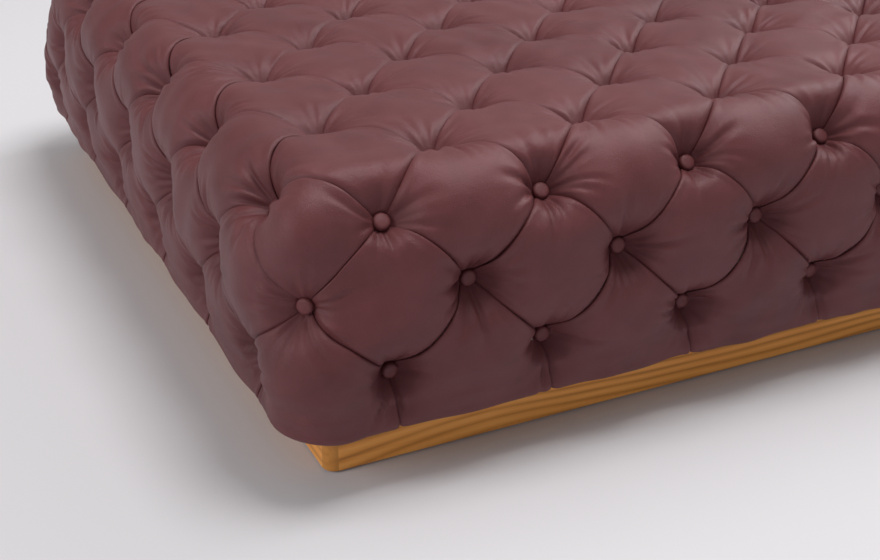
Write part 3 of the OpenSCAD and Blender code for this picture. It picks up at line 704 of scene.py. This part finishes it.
# collects the closed pads of one piece
class Shell:
    def __init__(self):
        self.points = []
        self.faces = []
        self.count = 0

    def add(self, points, *groups):
        self.faces += [group + self.count for group in groups]
        self.points.append(points)
        self.count += len(points)


def gridFaces(rows, columns):
    i, j = np.meshgrid(np.arange(rows), np.arange(columns), indexing="ij")
    a = (i * (columns + 1) + j).ravel()
    return np.stack([a, a + columns + 1, a + columns + 2, a + 1], -1)


def rimOf(rows, columns):
    top = list(range(columns))
    right = [i * (columns + 1) + columns for i in range(rows)]
    bottom = [rows * (columns + 1) + j for j in range(columns, 0, -1)]
    left = [i * (columns + 1) for i in range(rows, 0, -1)]
    return top + right + bottom + left


# joins a rim to an equal or coarser one, which has one point to each few of its own
def stitch(outer, inner):
    ratio = len(outer) // len(inner)
    half = ratio // 2
    faces = []
    for n in range(len(inner)):
        a = inner[n]
        b = inner[(n + 1) % len(inner)]
        edge = [outer[(n * ratio + m) % len(outer)] for m in range(ratio + 1)]
        faces += [(edge[m], edge[m + 1], a) for m in range(half)]
        faces += [(edge[m], edge[m + 1], b) for m in range(half, ratio)]
        faces.append((a, edge[half], b))
    return np.array(faces)


def closeShell(shell, outer, inner, faces, innerFaces, rim, innerRim):
    count = len(outer)
    joined = stitch(rim, [k + count for k in innerRim])
    shell.add(np.concatenate([outer, inner]), faces, innerFaces[:, ::-1] + count, joined)


def closePad(shell, outer, inner):
    size = [length - 1 for length in outer.shape[:2]]
    innerSize = [length - 1 for length in inner.shape[:2]]
    closeShell(shell, outer.reshape(-1, 3), inner.reshape(-1, 3), gridFaces(*size), gridFaces(*innerSize),
               rimOf(*size), rimOf(*innerSize))


# the filling's lumps, one in each pad
lump = {
    "cells": 12,
    "inset": 1.15,
    "lowInset": 1.2,
    "gap": 0.001,
    "least": 0.0015,
    "under": 0.002,
    "overEdge": 0.004,
}


def stuffed(height):
    return np.maximum(height - cover["innerDepth"] - lump["gap"], lump["least"])


# u and v run from 0 to 1 across a pad, one for each family of pleats
def diamondHeight(u, v, tall):
    a = np.minimum(u, 1 - u)
    b = np.minimum(v, 1 - v)
    share = padShare(bulge(a), bulge(b))
    return share, underRim(tall * share, np.hypot(a, b) * cell)


def diamondForm(u, v, tall, lips, kind):
    share, height = diamondHeight(u, v, tall)
    relief = unevenness(u * cell, v * cell) * np.minimum(share * waves["fade"], 1.0)
    for cornerU in (0, 1):
        for cornerV in (0, 1):
            relief += fanOfFolds(np.abs(u - cornerU) * cell, np.abs(v - cornerV) * cell,
                                 math.pi / 4, math.pi / 4, kind)
    toEdge = np.minimum(np.minimum(u, 1 - u), np.minimum(v, 1 - v)) * cell
    height = height + relief * calmEdge(toEdge)
    newU = u.copy()
    newV = v.copy()
    edges = ((u, v, newU, -1), (1 - u, v, newU, 1), (v, u, newV, -1), (1 - v, u, newV, 1))
    for isLip, (distance, along, target, sign) in zip(lips, edges):
        size = edgeSize(np.minimum(along, 1 - along) * cell)
        turn = lipTurn if isLip else underTurn
        shift, rise = turn(distance * cell, size)
        target += sign * shift / cell
        height = height + rise
    return newU, newV, height


def latticePlace(centre, u, v):
    return centre[0] + (u + v - 1) / 2, centre[1] + (u - v) / 2


def diamondPoints(frameOf, centre, u, v, height):
    base, way = frameOf(*latticePlace(centre, u, v))
    return base + way * (height * tightness(base))[..., None]


def diamondTall(frameOf, centre, u, v):
    s, t = latticePlace(centre, u, v)
    if frameOf is onTop:
        t = np.minimum(np.minimum(s, wide - s), np.minimum(t, deep - t))
    return fullness(t)


# the pad's form without its folds, for what lies under the leather
def plainForm(frameOf, centre, grid):
    u, v = np.meshgrid(grid, grid, indexing="ij")
    return u, v, diamondHeight(u, v, diamondTall(frameOf, centre, u, v))[1]


def diamondPad(frameOf, centre, lips, skin, stuffing):
    grid = crowded(cover["cells"])
    u, v = np.meshgrid(grid, grid, indexing="ij")
    tall = diamondTall(frameOf, centre, u, v)
    kind = "top" if frameOf is onTop else "side"
    outer = diamondPoints(frameOf, centre, *diamondForm(u, v, tall, lips, kind))
    inset = cover["shrink"] / cell
    u, v, height = plainForm(frameOf, centre, inset + (1 - 2 * inset) * grid[::cover["innerStep"]])
    inner = diamondPoints(frameOf, centre, u, v, height - cover["innerDepth"])
    closePad(skin, outer, inner)
    inset *= lump["inset"]
    even = np.linspace(0, 1, lump["cells"] + 1)
    u, v, height = plainForm(frameOf, centre, inset + (1 - 2 * inset) * even)
    upper = diamondPoints(frameOf, centre, u, v, stuffed(height))
    under = diamondPoints(frameOf, centre, u, v, np.full_like(u, -lump["under"]))
    closePad(stuffing, upper, under)


# a pad of the lowest row, down to its lower edge and in to the hem
lowPad = {
    "rows": 60,
    "turnRows": 8,
    "hemRows": 8,
    "bellyDrop": 0.036,
    "edgeDrop": 0.063,
    "scallop": 0.0034,
    "hemEase": 0.6,
    "hemCalm": 0.94,
    "calmRun": 0.55,
    "foldFacing": 22.5,
    "foldSpread": 67.0,
    "foldHeight": 0.03,
    "pleatEase": 0.014,
    "wallTop": 0.0013,
    "innerStart": 0.001,
    "innerBend": 0.004,
}
zEdge = zLower - lowPad["edgeDrop"]
hemEnd = cover["dipDepth"] - cover["hemInset"]
slopeTrim = cover["shrink"] * math.sqrt(2)


# pitches under the shoulder row, no further than the lower row
def levelOf(z):
    return np.maximum(-0.5 - (zUpper - z) / rowGap / 2, -1.0)


# a side's frame by height, which runs on round the next corner
def wrapFrame(index, q, z, height):
    side = sides[index]
    following = sides[(index + 1) % 4]
    out = np.full_like(q, -cover["dipDepth"])
    tilt = lean(levelOf(z))
    base, way = sideFrame(side, np.minimum(q, side["length"]), out, z, tilt)
    nextBase, nextWay = sideFrame(following, np.maximum(q - side["length"], 0.0), out, z, tilt)
    past = (q > side["length"])[..., None]
    base = np.where(past, nextBase, base)
    return base + np.where(past, nextWay, way) * (height * tightness(base))[..., None]


def lowHeight(delta, z):
    half = np.abs(delta)
    t = levelOf(z)
    a = np.clip((-t - 0.5) - half, 0, 0.5)
    b = (-t - 0.5) + half
    b = np.clip(np.minimum(b, 1 - b), 0, 0.5)
    lattice = fullness(t) * padShare(bulge(a), bulge(b))
    level = (z - zLower) / rowGap / 2
    fromTop = pitch * np.hypot(half, 0.5 - level)
    fromLow = pitch * np.hypot(0.5 - half, level)
    drop = np.maximum(zLower - z, 0.0)
    side = bulge(0.5 - half)
    belly = cover["bellyHeight"] * (cover["bellyShare"] + (1 - cover["bellyShare"]) * side)
    edge = cover["edgeOverhang"] + cover["edgeSwell"] * side + cover["dipDepth"]
    down = smooth(drop / lowPad["bellyDrop"])
    further = smooth((drop - lowPad["bellyDrop"]) / (lowPad["edgeDrop"] - lowPad["bellyDrop"]))
    height = underRim(lattice + (belly - lattice) * down, np.minimum(fromTop, fromLow))
    return height + (edge - height) * further, edge


def lowGrid(delta, vertical, trim=0.0):
    start = zUpper - 2 * rowGap * np.abs(delta) - trim
    z = start[None, :] + (zEdge - start)[None, :] * vertical[:, None]
    across = np.broadcast_to(delta[None, :], z.shape)
    height, edge = lowHeight(across, z)
    return across, z, height, edge


def lowestOutside(index, q, delta, down):
    radius = cover["edgeRadius"]
    z, height, edge = lowGrid(delta, down)[1:]
    swell = bulge(0.5 - np.abs(delta))[None, :]
    angles = np.linspace(0, math.pi / 2, lowPad["turnRows"] + 1)[1:, None]
    run = np.linspace(0, 1, lowPad["hemRows"] + 1)[1:, None]
    turnOut = edge[-1] - radius * (1 - np.cos(angles))
    turnZ = zEdge - radius * np.sin(angles) - lowPad["scallop"] * swell * np.sin(angles)
    hemOut = turnOut[-1] + (hemEnd - turnOut[-1]) * run
    hemZ = zEdge - radius - lowPad["scallop"] * swell * (1 - smooth(run / lowPad["hemEase"]))
    allHeight = np.concatenate([height, turnOut, hemOut])
    allZ = np.concatenate([z, turnZ, hemZ])
    allDelta = np.broadcast_to(delta[None, :], allZ.shape)
    facing = np.concatenate([np.zeros((len(down), 1)), angles, np.full(run.shape, math.pi / 2)])
    calm = np.concatenate([np.ones((len(down) + len(angles), 1)),
                           1 - lowPad["hemCalm"] * smooth(run / lowPad["calmRun"])])

    # the folds follow the leather's own length, over the edge and in to the hem
    x = allDelta * pitch
    turnPath = zUpper - zEdge + radius * angles
    path = np.concatenate([zUpper - z, np.broadcast_to(turnPath, turnOut.shape),
                           turnPath[-1] + turnOut[-1] - hemOut])
    drop = path - rowGap
    fold = fanOfFolds(x, path, math.pi / 2, math.pi / 4)
    for across in (x + pitch / 2, pitch / 2 - x):
        fold += fanOfFolds(across, drop, math.radians(lowPad["foldFacing"]),
                           math.radians(lowPad["foldSpread"]))
    fold += unevenness(x, path) * smooth(allHeight / lowPad["foldHeight"])
    away = np.maximum((path - 2 * rowGap * np.abs(allDelta)) / math.sqrt(2), 0.0)
    toPleat = (0.5 - np.abs(allDelta)) * pitch
    fold *= calmEdge(np.minimum(away, toPleat))

    # lips along the slanting pleats, and one lip over one edge at the upright pleats
    size = edgeSize(np.minimum(np.hypot(x, path), np.hypot(toPleat, drop)))
    shift, rise = lipTurn(away, size)
    moved = allDelta + np.sign(allDelta) * shift / math.sqrt(2) / pitch
    allZ = allZ + shift / math.sqrt(2)
    below = smooth((drop + lowPad["pleatEase"]) / lowPad["pleatEase"])
    lipShift, lipRise = lipTurn(toPleat, size)
    underShift, underRise = underTurn(toPleat, size)
    right = allDelta > 0
    moved = moved + np.sign(allDelta) * below * np.where(right, lipShift, underShift) / pitch
    rise = rise + below * np.where(right, lipRise, underRise)
    rise = (rise + fold) * calm
    return wrapFrame(index, q + moved, allZ - rise * np.sin(facing), allHeight + rise * np.cos(facing))


def lowestInside(index, q, delta, down):
    narrow = delta * (1 - 2 * cover["shrink"] / pitch)
    z, height = lowGrid(narrow, down, slopeTrim)[1:3]
    height = height - cover["innerDepth"]
    last = height[-1]
    bend = lowPad["innerBend"]
    hemRows = np.stack([last - lowPad["innerStart"], last - bend, (last - bend + hemEnd) / 2,
                        np.full_like(last, hemEnd)])
    hemZ = np.full_like(hemRows, zHem + lowPad["wallTop"])
    hemZ[0] += bend
    allHeight = np.concatenate([height, hemRows])
    allZ = np.concatenate([z, hemZ])
    return wrapFrame(index, q + np.broadcast_to(narrow[None, :], allZ.shape), allZ, allHeight)


def lowestPad(index, q, skin, stuffing):
    half = 0.5 * crowded(cover["cells"] // 2)
    delta = np.concatenate([half - 0.5, half[1:]])
    down = crowded(lowPad["rows"])
    step = cover["innerStep"]
    closePad(skin, lowestOutside(index, q, delta, down),
             lowestInside(index, q, delta[::step], down[::step]))
    even = np.linspace(0, 1, lump["cells"] + 1)
    narrow = (even - 0.5) * (1 - 2 * lump["lowInset"] * cover["shrink"] / pitch)
    across, z, height = lowGrid(narrow, even, slopeTrim * lump["lowInset"])[:3]
    z = np.maximum(z, zEdge + lump["overEdge"])
    upper = wrapFrame(index, q + across, z, stuffed(height))
    under = wrapFrame(index, q + across, z, np.full_like(z, -lump["under"]))
    closePad(stuffing, upper, under)


# a three-sided pad on a top corner
cornerPad = {
    "side": 0.190,
    "tall": 0.165,
    "crowding": 1.25,
    "height": 0.060,
    "middle": 1.5,
    "wayPower": 6,
    "wayShare": 0.01,
    "least": 1e-6,
    "lips": (False, True, True),
}
cornerPairs = ((2, 0, 1), (0, 1, 2), (1, 2, 0))  # a corner, and the two of the edge facing it


def weights(count):
    rows = [(1 - (i + j) / count, i / count, j / count)
            for i in range(count + 1) for j in range(count + 1 - i)]
    spread = np.array(rows) ** cornerPad["crowding"]
    return spread / spread.sum(-1, keepdims=True)


def triangleFaces(count):
    index = {}
    for i in range(count + 1):
        for j in range(count + 1 - i):
            index[i, j] = len(index)
    faces = []
    for i in range(count):
        for j in range(count - i):
            faces.append((index[i, j], index[i + 1, j], index[i, j + 1]))
            if j < count - i - 1:
                faces.append((index[i + 1, j], index[i + 1, j + 1], index[i, j + 1]))
    rim = [index[i, 0] for i in range(count)]
    rim += [index[count - j, j] for j in range(count)]
    rim += [index[0, j] for j in range(count, 0, -1)]
    return np.array(faces), rim


# the pad's three edges, each from 0 to 1
def cornerEdges(index):
    side = sides[index]
    before = sides[index - 1]
    length = before["length"]

    def front(x):
        return coverFrame(side, 0.5 - 0.5 * x, -0.5 * x)

    def left(x):
        return coverFrame(before, length - 0.5 * x, -0.5 + 0.5 * x)

    def top(x):
        start, along, outward = waysOf(side)
        plan = start + pitch * (0.5 * x[..., None] * along - (0.5 - 0.5 * x)[..., None] * outward)
        return topFrame(plan[..., 0], plan[..., 1])

    return front, left, top


# how far along the edge from its first corner to its second
def alongEdge(w, first, second):
    return np.clip(w[:, second] / np.maximum(w[:, first] + w[:, second], tiny), 0.0, 1.0)


# weight 0 is the front button's, 1 the upright corner's, 2 that of the button round the corner
def cornerPoints(index, w, height):
    front, left, top = cornerEdges(index)
    base = 0
    way = 0
    for (opposite, first, second), curve in zip(cornerPairs, (front, left, top)):
        edgeBase, edgeWay = curve(alongEdge(w, first, second))
        base = base + edgeBase * (1 - w[:, opposite])[:, None]
        way = way + edgeWay * (w[:, first] * w[:, second] + cornerPad["least"])[:, None]
    for k, (curve, x) in enumerate(((front, 0.0), (front, 1.0), (left, 1.0))):
        corner, cornerWay = curve(np.array([x]))
        base = base - corner * w[:, k:k + 1]
        way = way + cornerWay * (w[:, k:k + 1] ** cornerPad["wayPower"]) * cornerPad["wayShare"]
    return base + unit(way) * (height * tightness(base))[:, None]


def cornerHeight(inside):
    shares = 0
    total = 0
    middle = 1
    for opposite, first, second in cornerPairs:
        x = alongEdge(inside, first, second)
        near = inside[:, first] * inside[:, second] + tiny
        shares = shares + near * bulge(np.minimum(x, 1 - x))
        total = total + near
        middle = middle * bulge(np.minimum(inside[:, opposite] * cornerPad["middle"], 0.5))
    edge = cover["pleatShare"] * shares / total
    tall = fullness(np.minimum(inside[:, 0], inside[:, 2]) * 0.5)
    height = tall * edge + (cornerPad["height"] - cover["pleatShare"] * tall) * middle
    return edge, underRim(height, (1 - inside.max(-1)) * cornerPad["side"])


def cornerForm(w):
    inside = np.clip(w, 0.0, 1.0)
    edge, height = cornerHeight(inside)
    places = np.array([[0.0, 0.0], [cornerPad["side"], 0.0], [cornerPad["side"] / 2, cornerPad["tall"]]])
    plan = inside @ places
    centre = places.mean(0)
    relief = unevenness(plan[:, 0], plan[:, 1]) * edge
    for place in places:
        facing = math.atan2(*(centre - place)[::-1])
        relief += fanOfFolds(plan[:, 0] - place[0], plan[:, 1] - place[1], facing, math.pi / 6)
    height = height + relief * calmEdge(inside.min(-1) * cornerPad["tall"])
    moved = w.copy()
    for (opposite, first, second), isLip in zip(cornerPairs, cornerPad["lips"]):
        x = alongEdge(inside, first, second)
        size = edgeSize(np.minimum(x, 1 - x) * cornerPad["side"])
        turn = lipTurn if isLip else underTurn
        shift, rise = turn(w[:, opposite] * cornerPad["tall"], size)
        part = shift / cornerPad["tall"]
        moved[:, opposite] -= part
        moved[:, first] += part * (1 - x)
        moved[:, second] += part * x
        height = height + rise
    return moved, height


def insetWeights(count, inset):
    inside = weights(count) * (1 - 3 * inset) + inset
    return inside, cornerHeight(inside)[1] - cover["innerDepth"]


def cornerPadAt(index, skin, stuffing):
    count = cover["cells"]
    innerCount = count // cover["innerStep"]
    shrink = cover["shrink"] / cornerPad["tall"]
    outer = cornerPoints(index, *cornerForm(weights(count)))
    inner = cornerPoints(index, *insetWeights(innerCount, shrink))
    faces, rim = triangleFaces(count)
    innerFaces, innerRim = triangleFaces(innerCount)
    closeShell(skin, outer, inner, faces, innerFaces, rim, innerRim)
    inside, height = insetWeights(lump["cells"], shrink * lump["lowInset"])
    upper = cornerPoints(index, inside, height - lump["gap"])
    under = cornerPoints(index, inside, np.full(len(inside), -lump["under"]))
    faces, rim = triangleFaces(lump["cells"])
    closeShell(stuffing, upper, under, faces, faces, rim, rim)


sidePanels = ["leather_front", "leather_right", "leather_back", "leather_left"]
panelNames = ["leather_top_left", "leather_top_right"] + sidePanels
fillingNames = ["top_filling", "side_filling"]
shells = {name: Shell() for name in panelNames + fillingNames}


def topPanel(x):
    return shells["leather_top_left" if x < -1e-6 else "leather_top_right"]


def isTop(s, t):
    return 0 < s < wide and 0 < t < deep


for i in range(1, 2 * wide):
    for j in range(1, 2 * deep):
        if i % 2 == j % 2:
            s = i / 2
            t = j / 2
            lips = (False, isTop(s + 0.5, t + 0.5), isTop(s - 0.5, t + 0.5), False)
            diamondPad(onTop, (s, t), lips, topPanel(s * pitch - halfX), shells["top_filling"])
print("top pads made")

for index, side in enumerate(sides):
    onSide = partial(coverFrame, side)
    panel = shells[sidePanels[index]]
    for q in range(1, side["length"]):
        x = side["start"][0] + side["along"][0] * q * pitch
        diamondPad(onSide, (q, 0.0), (False, True, True, False), topPanel(x), shells["top_filling"])
    for q in range(side["length"]):
        lips = (False, q < side["length"] - 1, True, False)
        diamondPad(onSide, (q + 0.5, -0.5), lips, panel, shells["side_filling"])
        lowestPad(index, q + 1, panel, shells["side_filling"])
    cornerPadAt(index, topPanel(side["start"][0]), shells["top_filling"])
print("side pads made")


def shellObject(name, shell, material, shifted=True):
    points = np.concatenate(shell.points)
    points = endShift(points) if shifted else points
    faces = [face for group in shell.faces for face in group.tolist()]
    mesh = bpy.data.meshes.new(name)
    mesh.from_pydata(points.tolist(), [], faces)
    mesh.shade_smooth()
    mesh.validate()
    mesh.materials.append(material)
    obj = bpy.data.objects.new(name, mesh)
    bpy.context.scene.collection.objects.link(obj)
    return obj


def finishPiece(obj, replaced):
    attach(obj, "root")
    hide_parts(replaced)


for names, ending, material, slotName in ((panelNames, "_padded", leather, "leather"),
                                          (fillingNames, "_lumps", hidden["filling"], "filling")):
    for name in names:
        piece = shellObject(name + ending, shells[name], material)
        finishPiece(piece, name)
print("cover and filling made")

# the seat's slab slopes off at its upper edges, to stay under the lowered shoulder
foamLook = {
    "bevel": 0.006,
    "segments": 3,
    "below": 0.0045,
    "slope": 0.050,
    "smoothAngle": 40.0,
}
upright = 0.9  # a face whose normal has at least this much of Z is level


def bevelFaces(obj, wanted, **how):
    bpy.ops.object.mode_set(mode="EDIT")
    bpy.ops.mesh.select_all(action="DESELECT")
    bpy.ops.object.mode_set(mode="OBJECT")
    for face in obj.data.polygons:
        face.select = wanted(face)
    bpy.ops.object.mode_set(mode="EDIT")
    bpy.ops.mesh.bevel(**how)
    bpy.ops.object.mode_set(mode="OBJECT")


def makeSlab(name, low, high, sloping):
    bpy.ops.mesh.primitive_cube_add(size=1, location=(low + high) / 2)
    slab = bpy.context.active_object
    slab.name = name
    slab.scale = high - low
    bpy.ops.object.transform_apply(location=True, rotation=True, scale=True)
    if sloping:
        bevelFaces(slab, lambda face: face.normal.z > upright, offset=foamLook["slope"], segments=1)
    bevel = slab.modifiers.new("bevel", "BEVEL")
    bevel.width = foamLook["bevel"]
    bevel.segments = foamLook["segments"]
    bpy.ops.object.modifier_apply(modifier="bevel")
    bpy.ops.object.shade_smooth_by_angle(angle=math.radians(foamLook["smoothAngle"]))
    slab.data.materials.append(hidden["foam"])
    return slab


for name in ("seat_foam", "front_foam", "back_foam", "left_foam", "right_foam"):
    low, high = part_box(name)
    isSeat = name == "seat_foam"
    if isSeat:
        high.z -= foamLook["below"]
    slab = makeSlab(name + "_slab", low, high, isSeat)
    finishPiece(slab, name)
print("foam made")

# the leather-covered buttons, each a little askew
button = {
    "radius": 0.0112,
    "sides": 24,
    "underside": 0.0062,
    "top": 0.0158,
    "dome": 0.0056,
    "domeSegments": 4,
    "lowerRound": 0.0016,
    "lowerSegments": 2,
    "profile": 0.55,
    "crownDepth": 0.0012,
    "crownDrop": 0.0011,
    "tilt": 3.5,
    "seatSink": 0.0040,  # the seat's own sit deeper in their dips
}


def makeButton():
    depth = button["top"] - button["underside"]
    bpy.ops.mesh.primitive_cylinder_add(vertices=button["sides"], radius=button["radius"], depth=depth,
                                        location=(0, 0, button["underside"] + depth / 2))
    obj = bpy.context.active_object
    bpy.ops.object.transform_apply(location=True, rotation=True, scale=True)
    for level, width, segments in ((button["top"], button["dome"], button["domeSegments"]),
                                   (button["underside"], button["lowerRound"], button["lowerSegments"])):
        bevelFaces(obj, lambda face: abs(face.normal.z) > upright and abs(face.center.z - level) < 1e-5,
                   offset=width, segments=segments, profile=button["profile"])
    bpy.ops.object.mode_set(mode="EDIT")
    bpy.ops.mesh.select_all(action="SELECT")
    bpy.ops.mesh.quads_convert_to_tris()
    bpy.ops.object.mode_set(mode="OBJECT")
    mesh = obj.data
    points = np.array([tuple(vertex.co) for vertex in mesh.vertices])
    span = np.hypot(points[:, 0], points[:, 1]) / button["radius"]
    upper = points[:, 2] > button["top"] - button["crownDepth"]
    points[:, 2] -= np.where(upper, button["crownDrop"] * span ** 2, 0.0)
    triangles = np.array([tuple(face.vertices) for face in mesh.polygons])
    bpy.data.objects.remove(obj)
    return points, triangles


buttonPoints, buttonTriangles = makeButton()


def placeButtons(name, places, sink=0.0):
    shell = Shell()
    swing = math.radians(button["tilt"])
    for base, way in places:
        up = Vector(way).normalized()
        turn = up.to_track_quat("Z", "Y").to_matrix()
        nudge = (Matrix.Rotation(chance.uniform(-swing, swing), 3, "X")
                 @ Matrix.Rotation(chance.uniform(-swing, swing), 3, "Y")
                 @ Matrix.Rotation(chance.uniform(0, wholeTurn), 3, "Z"))
        matrix = np.array(turn @ nudge)
        place = endShift(np.array(base)) - np.array(up) * sink
        shell.add(buttonPoints @ matrix.T + place, buttonTriangles)
    made = shellObject(name + "_covered", shell, buttonLeather, False)
    finishPiece(made, name)


def placeOf(frameOf, *values):
    base, way = frameOf(*[np.array([value], float) for value in values])
    return base[0], way[0]


seatPlaces = [placeOf(onTop, i / 2, j / 2)
              for i in range(1, 2 * wide) for j in range(1, 2 * deep) if i % 2 != j % 2]
placeButtons("seat_buttons", seatPlaces, button["seatSink"])
for name, start, t in (("shoulder_buttons", 0.5, 0.0), ("upper_row_buttons", 0.0, -0.5),
                       ("lower_row_buttons", 0.5, -1.0)):
    places = [placeOf(partial(coverFrame, side), start + q, t)
              for side in sides for q in range(side["length"])]
    placeButtons(name, places)
print("buttons made")

# the CAD nodes that stay get materials only
railWood = {
    "plinth_front_rail": woodX,
    "plinth_back_rail": woodX,
    "plinth_left_rail": woodY,
    "plinth_right_rail": woodY,
}
for entry in frame["record"]["subparts"]:
    name = entry["node"]
    if name.startswith("leather") or name.endswith(("buttons", "filling", "foam")):
        continue
    materials = nodes[name].data.materials
    materials.clear()
    materials.append(railWood.get(name) or hidden[entry["material_slot"]])
print("frame nodes painted")

studio = {
    "floorSize": 60,
    "floor": (0.63, 0.615, 0.635),
    "floorRoughness": 0.85,
    "floorSpecular": 0.2,
    "low": 0.38,  # the surroundings' strength, up to where they brighten and above
    "high": 0.44,
    "brightens": (0.30, 0.90),
    "lamps": [
        {"place": (0.8, -0.7, 6.8), "aim": (0.0, -0.5, 0.2), "size": 3.0, "power": 280},
        {"place": (-5.5, -0.6, 2.6), "aim": (-0.9, -0.2, 0.2), "size": 3.0, "power": 105},
        {"place": (5.0, 1.0, 4.6), "aim": (0.0, 0.0, 0.3), "size": 3.2, "power": 190},
    ],
}
bpy.ops.mesh.primitive_plane_add(size=studio["floorSize"])
floor = bpy.context.active_object
floor.name = "floor"
floorMaterial, floorShader = newMaterial(
    "pale_floor", studio["floorRoughness"], Specular_IOR_Level=studio["floorSpecular"])[:2]
floorShader.inputs["Base Color"].default_value = (*studio["floor"], 1.0)
floor.data.materials.append(floorMaterial)

bpy.context.scene.view_settings.view_transform = "Standard"
world = bpy.data.worlds.new("studio")
world.use_nodes = True
sky = world.node_tree
backdrop = sky.nodes["Background"]
backdrop.inputs["Color"].default_value = (1, 1, 1, 1)
direction = Wire(sky, sky.nodes.new("ShaderNodeTexCoord").outputs["Generated"])
glow = direction.node("ShaderNodeMapRange", {"interpolation_type": "SMOOTHSTEP"},
                      Value=axisOf(direction, 2),
                      From_Min=studio["brightens"][0], From_Max=studio["brightens"][1],
                      To_Min=studio["low"], To_Max=studio["high"])
direction.feed(backdrop.inputs["Strength"], glow)
bpy.context.scene.world = world
for number, lamp in enumerate(studio["lamps"]):
    data = bpy.data.lights.new("lamp", "AREA")
    data.shape = "DISK"
    data.size = lamp["size"]
    data.energy = lamp["power"]
    obj = bpy.data.objects.new("lamp_%d" % number, data)
    obj.location = lamp["place"]
    aim = Vector(lamp["aim"]) - Vector(lamp["place"])
    obj.rotation_euler = aim.to_track_quat("-Z", "Y").to_euler()
    bpy.context.scene.collection.objects.link(obj)
print("floor and light made")
